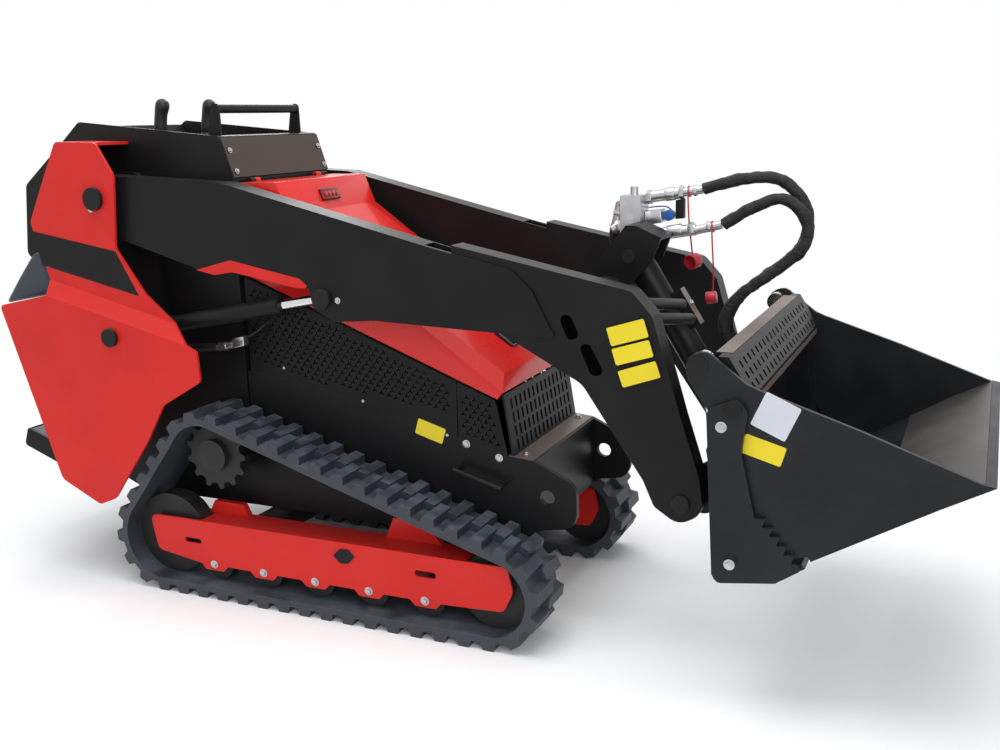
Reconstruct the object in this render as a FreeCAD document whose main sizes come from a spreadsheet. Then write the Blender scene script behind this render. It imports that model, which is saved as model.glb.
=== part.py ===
import FreeCAD, Part
import math
import os

import Sketcher

# Mini skid steer loader on rubber tracks with a clam bucket, in millimetres.
# X points forward, Y to the operator's left, Z up, and the tracks stand on Z = 0.
# Outlines are drawn in side view, as (x, z, corner radius) points, and padded
# across the machine. Places along X are measured from the machine's own datum,
# and mid_x moves that datum so that the part's origin is under its middle.

doc = FreeCAD.newDocument("mini_loader")
sheet = doc.addObject("Spreadsheet::Sheet", "Sizes")

# Driving dimensions: name, value in millimetres or degrees
SIZES = (
    ("mid_x", 254.9),
    ("running_gap", 0.3),
    ("moving_gap", 5.0),
    # Tracks and what they run on
    ("track_inner_y", 255.0),
    ("track_width", 180.0),
    ("lug_height", 22.0),
    ("lug_pitch", 72.0),
    ("lug_root", 46.0),
    ("lug_tip", 30.0),
    ("lug_lap", 14.0),
    ("belt_thickness", 18.0),
    ("rear_idler_x", -546.0),
    ("rear_idler_tip_radius", 165.0),
    ("front_idler_x", 540.0),
    ("front_idler_tip_radius", 148.0),
    ("sprocket_x", -367.0),
    ("sprocket_z", 430.0),
    ("sprocket_tip_radius", 146.0),
    ("idler_width", 56.0),
    ("idler_axle_radius", 20.0),
    ("roller_count", 5.0),
    ("roller_first_x", -378.0),
    ("roller_pitch", 178.0),
    ("roller_radius", 50.0),
    ("roller_axle_radius", 12.0),
    ("roller_width", 60.0),
    ("frame_width", 104.0),
    ("frame_wall", 8.0),
    ("frame_top_z", 228.0),
    ("frame_bottom_z", 75.0),
    ("motor_radius", 70.0),
    ("sprocket_width", 40.0),
    ("sprocket_teeth", 13.0),
    ("axle_beam_radius", 45.0),
    # Chassis and body
    ("chassis_half_width", 245.0),
    ("chassis_wall", 8.0),
    ("nose_wall", 16.0),
    ("belly_z", 240.0),
    ("tie_down_x", 638.0),
    ("tie_down_z", 379.0),
    ("tie_down_radius", 21.0),
    ("panel_wall", 4.0),
    ("hood_wall", 4.0),
    ("hood_hinge_x", -300.0),
    ("hood_top_z", 1216.0),
    ("hood_axis_x", -302.0),
    ("hood_axis_z", 1218.0),
    ("hood_knuckle_radius", 9.0),
    ("hood_pin_radius", 4.0),
    ("console_half_width", 250.0),
    ("console_wall", 8.0),
    ("console_floor_z", 430.0),
    ("dash_wall", 6.0),
    ("platform_half_width", 280.0),
    ("platform_length", 330.0),
    ("platform_depth", 64.0),
    ("platform_rise", 19.4),
    ("platform_hinge_x", -897.0),
    ("platform_hinge_z", 296.0),
    ("platform_pin_radius", 8.0),
    # Towers
    ("upright_wall", 16.0),
    ("tower_inner_y", 392.0),
    ("fender_inner_y", 431.0),
    ("tower_wall", 8.0),
    ("arm_pin_x", -701.0),
    ("arm_pin_z", 1177.0),
    ("arm_pin_radius", 26.0),
    ("lift_base_x", -653.0),
    ("lift_base_z", 779.0),
    ("lift_pin_radius", 20.0),
    # Lift arms
    ("arm_inner_y", 295.0),
    ("arm_outer_y", 369.0),
    ("arm_wall", 6.0),
    ("rod_pin_x", 39.0),
    ("rod_pin_z", 913.0),
    ("cross_tube_x", 745.0),
    ("cross_tube_z", 905.0),
    ("cross_tube_radius", 55.0),
    ("tilt_base_x", 805.0),
    ("tilt_base_z", 1015.0),
    ("tilt_pin_radius", 17.0),
    ("tilt_ear_inner_y", 46.0),
    ("tilt_ear_wall", 12.0),
    # Bucket
    ("bucket_pin_x", 1036.0),
    ("bucket_pin_z", 451.0),
    ("bucket_pin_radius", 22.0),
    ("tilt_eye_x", 1061.0),
    ("tilt_eye_z", 601.0),
    ("coupler_half_width", 286.0),
    ("coupler_ear_wall", 18.0),
    ("bucket_half_width", 515.0),
    ("bucket_wall", 12.0),
    ("cheek_inner_y", 414.0),
    ("jaw_pin_x", 1190.0),
    ("jaw_pin_z", 740.0),
    ("jaw_pin_radius", 20.0),
    ("clam_eye_x", 1106.0),
    ("clam_eye_z", 829.0),
    ("clam_base_x", 1193.0),
    ("clam_base_z", 385.0),
    ("clam_pin_radius", 15.0),
    # Hydraulic cylinders
    ("lift_barrel_radius", 25.0),
    ("lift_barrel_length", 545.0),
    ("lift_rod_radius", 15.0),
    ("lift_rod_length", 560.0),
    ("tilt_barrel_radius", 38.0),
    ("tilt_barrel_length", 430.0),
    ("tilt_rod_radius", 17.0),
    ("tilt_rod_length", 400.0),
    ("clam_barrel_radius", 25.0),
    ("clam_barrel_length", 255.0),
    ("clam_rod_radius", 13.0),
    ("clam_rod_length", 230.0),
    # Hoses to the clam cylinders
    ("hose_radius", 13.5),
    ("hose_upper_y", 120.0),
    ("hose_lower_y", 80.0),
)
for row, (name, value) in enumerate(SIZES, start=1):
    sheet.set(f"A{row}", name)
    sheet.set(f"B{row}", str(value))
    sheet.setAlias(f"B{row}", name)
doc.recompute()


def size(name):
    return float(sheet.get(name))


def cell(name):
    return f"Sizes.{name}"


SIDES = (("left", 1), ("right", -1))
NODES = []


def keep(piece, label):
    """Name a finished sub-part and put it in the part's own frame."""
    piece.Label = label
    piece.setExpression("Placement.Base.x", "-" + cell("mid_x"))
    NODES.append(piece)
    return piece


def vector(x, z, y=0.0):
    return FreeCAD.Vector(x, y, z)


# Outlines


# Corners under this radius are eased with short flats, larger ones with an arc
ARC_FROM = 30
FLAT_TURN = math.radians(32)


def rounded(points):
    """Lines and eased corners of a closed outline of (x, z, corner radius)."""
    corners = []
    count = len(points)
    for index, (x, z, radius) in enumerate(points):
        here = FreeCAD.Vector(x, z, 0)
        back = FreeCAD.Vector(*points[index - 1][:2], 0) - here
        ahead = FreeCAD.Vector(*points[(index + 1) % count][:2], 0) - here
        half = back.getAngle(ahead) / 2
        back.normalize()
        ahead.normalize()
        if radius <= 0:
            corners.append(([here], None))
            continue
        reach = radius / math.tan(half)
        middle = (back + ahead).normalize()
        start, end = here + back * reach, here + ahead * reach
        if radius >= ARC_FROM:
            corners.append(([start, end], here + middle * (radius / math.sin(half) - radius)))
            continue
        hub = here + middle * (radius / math.sin(half))
        flats = max(1, round((math.pi - 2 * half) / FLAT_TURN))
        sweep = (start - hub).getAngle(end - hub)
        side = math.copysign(1, (start - hub).cross(end - hub).z)
        spots = []
        for step in range(flats + 1):
            turn = FreeCAD.Rotation(FreeCAD.Vector(0, 0, 1), math.degrees(side * sweep * step / flats))
            spots.append(hub + turn.multVec(start - hub))
        corners.append((spots, None))
    edges = []
    for index, (spots, middle) in enumerate(corners):
        following = corners[(index + 1) % count][0][0]
        if middle is not None:
            edges.append(Part.Arc(spots[0], middle, spots[1]))
        else:
            edges += [Part.LineSegment(one, two) for one, two in zip(spots, spots[1:])]
        if (following - spots[-1]).Length > 0.001:
            edges.append(Part.LineSegment(spots[-1], following))
    return edges


def tangents_round(wheels):
    """Straight runs between wheels of (x, z, radius): start, end and outward angle."""
    tangents = []
    count = len(wheels)
    for index, (x, z, radius) in enumerate(wheels):
        next_x, next_z, next_radius = wheels[(index + 1) % count]
        along = math.atan2(next_z - z, next_x - x)
        spread = math.hypot(next_x - x, next_z - z)
        lean = math.acos((radius - next_radius) / spread)
        angle = along + lean
        unit = FreeCAD.Vector(math.cos(angle), math.sin(angle), 0)
        start = FreeCAD.Vector(x, z, 0) + unit * radius
        end = FreeCAD.Vector(next_x, next_z, 0) + unit * next_radius
        tangents.append((start, end, angle))
    return tangents


def lug_places(wheels, pitch, shift):
    """Even steps round the loop: (point, outward angle, radius there or None)."""
    tangents = tangents_round(wheels)
    pieces = []
    for index, (x, z, radius) in enumerate(wheels):
        arrive, (start, end, leave) = tangents[index - 1][2], tangents[index]
        turn = (arrive - leave) % (2 * math.pi)
        pieces.append((radius * turn, radius, FreeCAD.Vector(x, z, 0), arrive))
        pieces.append(((end - start).Length, None, start, leave))
    total = sum(piece[0] for piece in pieces)
    count = round(total / pitch)
    places = []
    for step in range(count):
        reach = ((step + shift) * total / count) % total
        for length, radius, origin, angle in pieces:
            if reach <= length:
                break
            reach -= length
        if radius is not None:
            angle -= reach / radius
            point = origin + FreeCAD.Vector(math.cos(angle), math.sin(angle), 0) * radius
        else:
            point = origin + FreeCAD.Vector(math.sin(angle), -math.cos(angle), 0) * reach
        places.append((point, angle, radius))
    return places


def belt(wheels):
    """Closed loop round wheels of (x, z, radius), listed clockwise in side view."""
    tangents = tangents_round(wheels)
    edges = []
    for index, (x, z, radius) in enumerate(wheels):
        arrive, leave = tangents[index - 1][2], tangents[index][2]
        turn = (arrive - leave) % (2 * math.pi)
        middle_angle = arrive - turn / 2
        middle = FreeCAD.Vector(x, z, 0) + FreeCAD.Vector(
            math.cos(middle_angle), math.sin(middle_angle), 0) * radius
        edges.append(Part.Arc(tangents[index - 1][1], middle, tangents[index][0]))
        edges.append(Part.LineSegment(tangents[index][0], tangents[index][1]))
    return edges


# Bodies made of padded side-view outlines


def new_body(label):
    body = doc.addObject("PartDesign::Body", "body_" + label)
    body.AllowCompound = True
    return body


def side_sketch(body, name, geometry, high):
    """Sketch in side view, on the plane where Y equals the expression high."""
    plane = [item for item in body.Origin.OriginFeatures if item.Role == "XZ_Plane"][0]
    drawing = body.newObject("Sketcher::SketchObject", name)
    drawing.AttachmentSupport = (plane, [""])
    drawing.MapMode = "FlatFace"
    drawing.addGeometry(geometry, False)
    drawing.setExpression("AttachmentOffset.Base.z", f"-({high})")
    return drawing


def span(side, inner, outer):
    """Low and high Y expressions of a piece between two distances from the middle."""
    if side > 0:
        return inner, outer
    return f"-({outer})", f"-({inner})"


def pad(body, name, geometry, low, high):
    drawing = side_sketch(body, name + "_outline", geometry, high)
    feature = body.newObject("PartDesign::Pad", name)
    feature.Profile = drawing
    feature.setExpression("Length", f"({high}) - ({low})")
    return feature


def cut(body, name, geometry, low, high):
    drawing = side_sketch(body, name + "_outline", geometry, high)
    feature = body.newObject("PartDesign::Pocket", name)
    feature.Profile = drawing
    feature.Reversed = True
    feature.setExpression("Length", f"({high}) - ({low})")
    return feature


def circles(body, kind, name, centres, radius, low, high):
    """Pad or pocket round discs whose radius follows the expression radius."""
    drawing = side_sketch(body, name + "_circles", [], high)
    for index, (x, z) in enumerate(centres):
        drawing.addGeometry(Part.Circle(FreeCAD.Vector(x, z, 0), FreeCAD.Vector(0, 0, 1), 10), False)
        bound = drawing.addConstraint(Sketcher.Constraint("Radius", index, 10))
        drawing.setExpression(f"Constraints[{bound}]", radius)
        drawing.addConstraint(Sketcher.Constraint("DistanceX", index, 3, x))
        drawing.addConstraint(Sketcher.Constraint("DistanceY", index, 3, z))
    feature = body.newObject("PartDesign::" + kind, name)
    feature.Profile = drawing
    if kind == "Pocket":
        feature.Reversed = True
    feature.setExpression("Length", f"({high}) - ({low})")
    return feature


def discs(body, name, centres, radius, low, high):
    return circles(body, "Pad", name, centres, radius, low, high)


def holes(body, name, centres, radius, low, high):
    return circles(body, "Pocket", name, centres, radius, low, high)


def plates(label, outline, inner, outer):
    """A flat plate on each side, between two distances from the middle."""
    body = new_body(label)
    for side_name, side in SIDES:
        pad(body, "plate_" + side_name, rounded(outline), *span(side, inner, outer))
    return body


# Round bars from primitives, for what lies along a slope


def bar(name, start, end, radius):
    """Cylinder between two points, its radius an expression."""
    along = end - start
    rod = doc.addObject("Part::Cylinder", name)
    rod.setExpression("Radius", radius)
    rod.Height = along.Length
    rod.Placement = FreeCAD.Placement(start, FreeCAD.Rotation(FreeCAD.Vector(0, 0, 1), along))
    return rod


def across(name, x, z, low, high, radius):
    """Cylinder across the machine from low to high in Y."""
    return bar(name, vector(x, z, low), vector(x, z, high), radius)


def fused(name, pieces):
    union = doc.addObject("Part::MultiFuse", name)
    union.Shapes = pieces
    return union


def together(name, pieces):
    """Pieces that stay apart on one node."""
    group = doc.addObject("Part::Compound", name)
    group.Links = pieces
    return group


def without(name, base, tool):
    result = doc.addObject("Part::Cut", name)
    result.Base = base
    result.Tool = tool
    return result


def box(name, low, high):
    """Plain box between two corners."""
    block = doc.addObject("Part::Box", name)
    block.Length = high.x - low.x
    block.Width = high.y - low.y
    block.Height = high.z - low.z
    block.Placement.Base = low
    return block


# Places that more than one piece uses

ARM_PIN = (size("arm_pin_x"), size("arm_pin_z"))
LIFT_BASE = (size("lift_base_x"), size("lift_base_z"))
ROD_PIN = (size("rod_pin_x"), size("rod_pin_z"))
TILT_BASE = (size("tilt_base_x"), size("tilt_base_z"))
TILT_EYE = (size("tilt_eye_x"), size("tilt_eye_z"))
BUCKET_PIN = (size("bucket_pin_x"), size("bucket_pin_z"))
JAW_PIN = (size("jaw_pin_x"), size("jaw_pin_z"))
CLAM_EYE = (size("clam_eye_x"), size("clam_eye_z"))
CLAM_BASE = (size("clam_base_x"), size("clam_base_z"))

track_middle_y = size("track_inner_y") + size("track_width") / 2
belt_and_lug = size("lug_height") + size("belt_thickness")
frame_inner = f"({cell('track_inner_y')} + {cell('track_width')} / 2 - {cell('frame_width')} / 2)"
frame_outer = f"({frame_inner} + {cell('frame_width')})"
track_middle = f"({cell('track_inner_y')} + {cell('track_width')} / 2)"
gap = cell("running_gap")


def track_wheels(inset):
    """Rear idler, sprocket and front idler as (x, z, radius), inset from the lug tips."""
    rear = size("rear_idler_tip_radius")
    front = size("front_idler_tip_radius")
    return (
        (size("rear_idler_x"), rear, rear - inset),
        (size("sprocket_x"), size("sprocket_z"), size("sprocket_tip_radius") - inset),
        (size("front_idler_x"), front, front - inset),
    )


def centred(width):
    """Inner and outer expressions of something centred on the track."""
    return f"({track_middle} - {width} / 2)", f"({track_middle} + {width} / 2)"


# Undercarriage

def lug_outline(point, angle, radius):
    """Tapered lug that stands on the belt, its foot sunk a little into it."""
    height, root, tip = size("lug_height"), size("lug_root") / 2, size("lug_tip") / 2
    out = FreeCAD.Vector(math.cos(angle), math.sin(angle), 0)
    along = FreeCAD.Vector(-math.sin(angle), math.cos(angle), 0)
    foot = -2.0
    if radius is not None:
        height = math.sqrt((radius + height) ** 2 - tip ** 2) - radius
        foot = math.sqrt(radius ** 2 - root ** 2) - radius - 2.0
    corners = [point + out * foot - along * root, point + out * height - along * tip,
               point + out * height + along * tip, point + out * foot + along * root]
    return [Part.LineSegment(one, two) for one, two in zip(corners, corners[1:] + corners[:1])]


def make_track(label, side):
    body = new_body(label)
    low, high = span(side, cell("track_inner_y"), f"{cell('track_inner_y')} + {cell('track_width')}")
    height = size("lug_height")
    pad(body, "belt", belt(track_wheels(height)) + belt(track_wheels(belt_and_lug)), low, high)
    edge = f"({cell('track_inner_y')} + {cell('track_width')})"
    lap = cell("lug_lap")
    rows = (("outer", 0.0, f"({track_middle} - {lap})", edge),
            ("inner", 0.5, cell("track_inner_y"), f"({track_middle} + {lap})"))
    for name, shift, near, far in rows:
        outlines = []
        for place in lug_places(track_wheels(height), size("lug_pitch"), shift):
            outlines += lug_outline(*place)
        pad(body, "lugs_" + name, outlines, *span(side, near, far))
    keep(body, label)


# Slots and a four-cornered cover in the frame's outer wall, and brackets on its top
FRAME_SLOTS = (((-482, 152, 6), (-418, 152, 6), (-424, 168, 6), (-482, 168, 6)),
               ((304, 162, 8), (370, 162, 8), (370, 181, 8), (304, 181, 8)))
FRAME_COVER = ((56, 188, 0), (72, 172, 0), (90, 172, 0), (106, 188, 0), (90, 204, 0), (72, 204, 0))
FRAME_BRACKETS = (((-448, 222, 0), (-428, 262, 0), (-322, 262, 0), (-302, 222, 0)),
                  ((170, 222, 0), (196, 288, 0), (298, 288, 0), (350, 222, 0)))


def make_track_frame(label, side):
    body = new_body(label)
    top = size("frame_top_z")
    bottom = size("frame_bottom_z")
    rear = size("rear_idler_x")
    front = size("front_idler_x")
    first, pitch, count = size("roller_first_x"), size("roller_pitch"), int(size("roller_count"))
    feet = []
    for x in (first + index * pitch for index in range(count)):
        feet += [(x - 48, bottom + 17, 0), (x - 32, bottom, 0), (x + 32, bottom, 0), (x + 48, bottom + 17, 0)]
    outline = [(rear - 62, top - 2, 20), (rear - 40, bottom + 40, 20)] + feet + [
        (front + 30, bottom + 25, 20), (front + 58, bottom + 85, 20), (front + 42, top, 15)]
    low, high = span(side, frame_inner, frame_outer)
    pad(body, "beam", rounded(outline), low, high)
    wall = cell("frame_wall")
    inside_low, inside_high = span(side, f"{frame_inner} + {wall}", f"{frame_outer} - {wall}")
    roof = top - size("frame_wall")
    channel = ((rear - 90, bottom - 50, 0), (front + 90, bottom - 50, 0), (front + 90, top + 50, 0),
               (front - 85, top + 50, 0), (front - 85, roof, 0), (rear + 125, roof, 0),
               (rear + 125, top + 50, 0), (rear - 90, top + 50, 0))
    cut(body, "channel", rounded(channel), inside_low, inside_high)
    for index, slot in enumerate(FRAME_SLOTS):
        cut(body, f"slot_{index}", rounded(slot), *span(side, f"{frame_outer} - {wall} - 5", frame_outer))
    pad(body, "cover", rounded(FRAME_COVER), *span(side, f"{frame_outer} - 2", f"{frame_outer} + 3"))
    for index, bracket in enumerate(FRAME_BRACKETS):
        pad(body, f"bracket_{index}", rounded(bracket), *span(side, frame_inner, f"({frame_inner} + 20)"))
    keep(body, label)


def octagons(centres, radius):
    """Eight-sided outlines of the axles, which are clamped between the frame's walls."""
    edges = []
    for x, z in centres:
        spots = [FreeCAD.Vector(x + radius * math.cos(step * math.pi / 4 + 0.39),
                                z + radius * math.sin(step * math.pi / 4 + 0.39), 0)
                 for step in range(8)]
        edges += [Part.LineSegment(one, two) for one, two in zip(spots, spots[1:] + spots[:1])]
    return edges


def make_track_wheels(label, side):
    """Track rollers and both idlers on their axles, all on one node."""
    body = new_body(label)
    first, pitch, count = size("roller_first_x"), size("roller_pitch"), int(size("roller_count"))
    roller_z = belt_and_lug + size("roller_radius") + 0.3
    rollers = [(first + index * pitch, roller_z) for index in range(count)]
    discs(body, "treads", rollers, cell("roller_radius"), *span(side, *centred(cell("roller_width"))))
    between = f"({cell('frame_width')} - 2 * {cell('frame_wall')} - 2 * {gap})"
    pad(body, "axles", octagons(rollers, size("roller_axle_radius")), *span(side, *centred(between)))
    for name, (x, z, tip_radius) in (("rear", track_wheels(0)[0]), ("front", track_wheels(0)[2])):
        rim = tip_radius - belt_and_lug - size("running_gap")
        discs(body, name + "_rim", [(x, z)], f"{rim}", *span(side, *centred(cell("idler_width"))))
        pad(body, name + "_axle", octagons([(x, z)], size("idler_axle_radius")),
            *span(side, *centred(between)))
    keep(body, label)


def make_sprocket(label, side):
    """Toothed drive wheel with the hub that its motor turns."""
    x, z, tip_radius = track_wheels(0)[1]
    body = new_body(label)
    rim = tip_radius - belt_and_lug - size("running_gap")
    teeth = int(size("sprocket_teeth"))
    outline = []
    for index in range(teeth):
        for share, reach in ((-0.30, 0.84), (-0.12, 1.0), (0.12, 1.0), (0.30, 0.84)):
            angle = (index + share) * 2 * math.pi / teeth
            outline.append((x + rim * reach * math.cos(angle), z + rim * reach * math.sin(angle), 0))
    low, high = span(side, *centred(cell("sprocket_width")))
    pad(body, "teeth", rounded(outline), low, high)
    hub_low, hub_high = span(side, f"{track_middle}", f"{track_middle} + {cell('sprocket_width')}")
    discs(body, "hub", [(x, z)], "48", hub_low, hub_high)
    keep(body, label)


def make_motors():
    """Track drive motors between the chassis walls and the sprockets."""
    x, z, tip_radius = track_wheels(0)[1]
    body = new_body("drive_motors")
    sprocket_inner = centred(cell("sprocket_width"))[0]
    for side_name, side in SIDES:
        discs(body, "case_" + side_name, [(x, z)], cell("motor_radius"),
              *span(side, f"{cell('console_half_width')} + {gap}", f"{sprocket_inner} - {gap}"))
    keep(body, "drive_motors")


# Beams that carry the track frames under the chassis: x, z
BEAMS = ((-260, 190), (330, 190))


def make_axle_beams():
    body = new_body("axle_beams")
    high = f"{frame_inner} - {gap}"
    discs(body, "beams", BEAMS, cell("axle_beam_radius"), f"-({high})", high)
    keep(body, "axle_beams")


for side_name, side in SIDES:
    make_track("track_" + side_name, side)
    make_track_frame("track_frame_" + side_name, side)
    make_track_wheels("track_wheels_" + side_name, side)
    make_sprocket("sprocket_" + side_name, side)
make_motors()
make_axle_beams()

# Chassis and body

half = cell("chassis_half_width")


def make_chassis():
    """Welded tub: floor, walls, front bulkhead and the two nose ears."""
    body = new_body("chassis")
    belly = size("belly_z")
    seat = size("console_floor_z")
    outline = ((-318, 662, 0), (-150, 640, 20), (524, 485, 0), (600, 478, 15), (722, 420, 50),
               (722, 300, 50), (622, 284, 20), (560, belly, 20), (-760, belly, 30),
               (-880, 290, 20), (-880, seat, 0), (-318, seat, 0))
    pad(body, "tub", rounded(outline), f"-{half}", half)
    wall = size("chassis_wall")
    inside = ((-757, belly + wall, 20), (556, belly + wall, 0), (580, 300, 0), (580, 462, 0),
              (520, 474, 0), (520, 700, 0), (-308, 700, 0), (-308, seat - wall, 0),
              (-872, seat - wall, 0), (-872, 295, 12))
    inner = f"{half} - {cell('chassis_wall')}"
    cut(body, "engine_bay", rounded(inside), f"-({inner})", inner)
    between_ears = ((604, 240, 0), (760, 240, 0), (760, 520, 0), (604, 520, 0))
    ear_inner = f"{half} - {cell('nose_wall')}"
    cut(body, "nose_gap", rounded(between_ears), f"-({ear_inner})", ear_inner)
    holes(body, "tie_downs", [(size("tie_down_x"), size("tie_down_z"))], cell("tie_down_radius"),
          f"-{half}", half)
    hinge_x, hinge_z = size("platform_hinge_x"), size("platform_hinge_z")
    ear = ((-874, hinge_z + 24, 0), (-874, hinge_z - 20, 0), (hinge_x - 15, hinge_z - 16, 14),
           (hinge_x - 15, hinge_z + 16, 14))
    for side_name, side in SIDES:
        pad(body, "platform_ear_" + side_name, rounded(ear), *span(side, "185", "195"))
    holes(body, "platform_holes", [(hinge_x, hinge_z)], f"{cell('platform_pin_radius')} + {gap}",
          "-200", "200")
    keep(body, "chassis")


# Hinge knuckles across the machine: the hood's inner end, where the two meet, outer end
HOOD_KNUCKLES = (150, 172, 196)
HOOD_LAMP = ((-166.8, 1183.9, 0), (-157.4, 1187.7, 0), (-143.8, 1154.3, 0), (-153.2, 1150.5, 0))


def make_hood():
    """Hollow hinged lid over the engine."""
    body = new_body("hood")
    rear = size("hood_hinge_x")
    top = size("hood_top_z")
    wall = size("hood_wall")
    outline = ((rear, top, 10), (-178, top, 30), (-142, 1128, 30), (500, 705, 25),
               (512, 660, 8), (496, 641, 0), (rear, 950, 0))
    pad(body, "skin", rounded(outline), f"-{half}", half)
    inside = ((rear - 20, top - wall, 0), (-183, top - wall, 26), (-147, 1124, 30), (496, 701, 21),
              (507, 660, 8), (500, 600, 0), (rear - 20, 900, 0))
    inner = f"{half} - {cell('hood_wall')}"
    cut(body, "hollow", rounded(inside), f"-({inner})", inner)
    pad(body, "lamp", rounded(HOOD_LAMP), "-48", "48")
    axis = [(size("hood_axis_x"), size("hood_axis_z"))]
    radius, pin = cell("hood_knuckle_radius"), cell("hood_pin_radius")
    for side_name, side in SIDES:
        inside_y, middle_y, outside_y = HOOD_KNUCKLES
        holes(body, "knuckle_room_" + side_name, axis, f"{radius} + {cell('moving_gap')}",
              *span(side, f"{middle_y}", f"({outside_y} + {cell('moving_gap')})"))
        discs(body, "knuckle_" + side_name, axis, radius, *span(side, f"{inside_y}", f"{middle_y}"))
        holes(body, "pin_hole_" + side_name, axis, f"{pin} + {gap}",
              *span(side, f"({inside_y} - 3)", f"({middle_y} + 1)"))
    keep(body, "hood")


# Upper ends of the grille's rows of slots, and the columns' count, pitch and slot width
GRILLE_ROWS = (636, 598, 560, 522)
GRILLE_COLUMNS = (14, 31, 13)


def make_grille():
    body = new_body("grille")
    inner = f"{half} - {cell('panel_wall')} - {gap}"
    outline = ((508, 652, 0), (514, 654, 0), (541, 485, 0), (535, 484, 0))
    pad(body, "sheet", rounded(outline), f"-({inner})", inner)
    rows = []
    for top in GRILLE_ROWS:
        rows += rounded(((495, top, 0), (555, top, 0), (555, top - 30, 0), (495, top - 30, 0)))
    columns, pitch, slot = GRILLE_COLUMNS
    for index in range(columns):
        middle = (index - (columns - 1) / 2) * pitch
        cut(body, f"slots_{index}", rows, f"{middle - slot / 2}", f"{middle + slot / 2}")
    keep(body, "grille")


def make_console():
    """Operator's console and the tank housing under it."""
    body = new_body("console")
    outer = cell("console_half_width")
    floor = size("console_floor_z")
    outline = ((-878, 1396, 15), (-360, 1347, 8), (-318, 1222, 0), (-322, 945, 0), (-322, floor, 0),
               (-880, floor, 0), (-930, 800, 0), (-1148, 990, 20), (-1121, 1206, 15), (-951, 1337, 15))
    pad(body, "housing", rounded(outline), f"-{outer}", outer)
    tray = ((-930, 1440, 0), (-872, 1345, 0), (-378, 1298, 0), (-378, 1440, 0))
    inner = f"{outer} - {cell('console_wall')}"
    cut(body, "control_tray", rounded(tray), f"-({inner})", inner)
    inside = ((-870, 1333, 0), (-386, 1287, 0), (-342, 1282, 0), (-329, 1222, 0), (-332, 945, 0),
              (-332, floor - 10, 0), (-870, floor - 10, 0), (-920, 806, 0), (-1136, 994, 0),
              (-1111, 1200, 0), (-948, 1326, 0))
    cut(body, "inside", rounded(inside), f"-({inner})", inner)
    axis_x, axis_z = size("hood_axis_x"), size("hood_axis_z")
    radius = size("hood_knuckle_radius")
    strap = ((axis_x, axis_z - radius, 0), (axis_x, axis_z + 3, 0), (-326, axis_z + 3, 0),
             (-326, axis_z - radius, 0))
    inside_y, middle_y, outside_y = HOOD_KNUCKLES
    for side_name, side in SIDES:
        low, high = span(side, f"({middle_y} + {gap})", f"{outside_y}")
        pad(body, "hinge_strap_" + side_name, rounded(strap), low, high)
        discs(body, "hinge_knuckle_" + side_name, [(axis_x, axis_z)], cell("hood_knuckle_radius"), low, high)
        discs(body, "hinge_pin_" + side_name, [(axis_x, axis_z)], cell("hood_pin_radius"),
              *span(side, f"({inside_y} - 2)", f"{outside_y}"))
    keep(body, "console")


def make_dash():
    """Slanted front plate of the console."""
    body = new_body("dash_plate")
    outer = f"{cell('console_half_width')} - 4"
    wall = size("dash_wall")
    outline = ((-357.7, 1341.4, 0), (-357.7 + wall * 0.95, 1341.4 + wall * 0.32, 0),
               (-319.8 + wall * 0.95, 1228.7 + wall * 0.32, 0), (-319.8, 1228.7, 0))
    pad(body, "plate", rounded(outline), f"-({outer})", outer)
    keep(body, "dash_plate")


def on_platform(points):
    """Outline points given as (distance behind the hinge, height over the tread, radius)."""
    rise = math.radians(size("platform_rise"))
    x, z = size("platform_hinge_x"), size("platform_hinge_z")
    return [(x - back * math.cos(rise) + up * math.sin(rise),
             z + back * math.sin(rise) + up * math.cos(rise), radius) for back, up, radius in points]


def make_platform():
    """Folding step that the operator stands on, with its hinge pin."""
    body = new_body("platform")
    outer = cell("platform_half_width")
    length, depth = size("platform_length"), size("platform_depth")
    hinge = (size("platform_hinge_x"), size("platform_hinge_z"))
    outline = ((4, 6, 4), (length, 6, 8), (length, 6 - depth, 12), (40, 6 - depth, 20), (4, -28, 8))
    pad(body, "tray", rounded(on_platform(outline)), f"-{outer}", outer)
    hollow = ((12, 30, 0), (length - 6, 30, 0), (length - 6, 0, 0), (12, 0, 0))
    cut(body, "tray_top", rounded(on_platform(hollow)), f"-({outer} - 6)", f"{outer} - 6")
    under = ((16, -6, 0), (length - 6, -6, 0), (length - 6, -90, 0), (16, -90, 0))
    cut(body, "tray_underside", rounded(on_platform(under)), f"-({outer} - 6)", f"{outer} - 6")
    ears = ((-40, 40, 0), (40, 40, 0), (40, -80, 0), (-40, -80, 0))
    for side_name, side in SIDES:
        cut(body, "ear_slot_" + side_name, rounded(on_platform(ears)),
            *span(side, "180", "200"))
    discs(body, "hinge_pin", [hinge], cell("platform_pin_radius"), "-202", "202")
    keep(body, "platform")
    tread = new_body("platform_tread")
    surface = ((50, 0.3, 0), (length - 10, 0.3, 0), (length - 10, 4, 0), (50, 4, 0))
    pad(tread, "sheet", rounded(on_platform(surface)), f"-({outer} - 10)", f"{outer} - 10")
    keep(tread, "platform_tread")


make_chassis()
make_hood()
make_grille()
make_console()
make_dash()
make_platform()

engine = new_body("engine")
engine_floor = size("belly_z") + size("chassis_wall") + size("running_gap")
pad(engine, "block", rounded(((-240, engine_floor, 0), (300, engine_floor, 0), (300, 760, 0),
                              (-240, 760, 0))), "-170", "170")
keep(engine, "engine")

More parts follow.
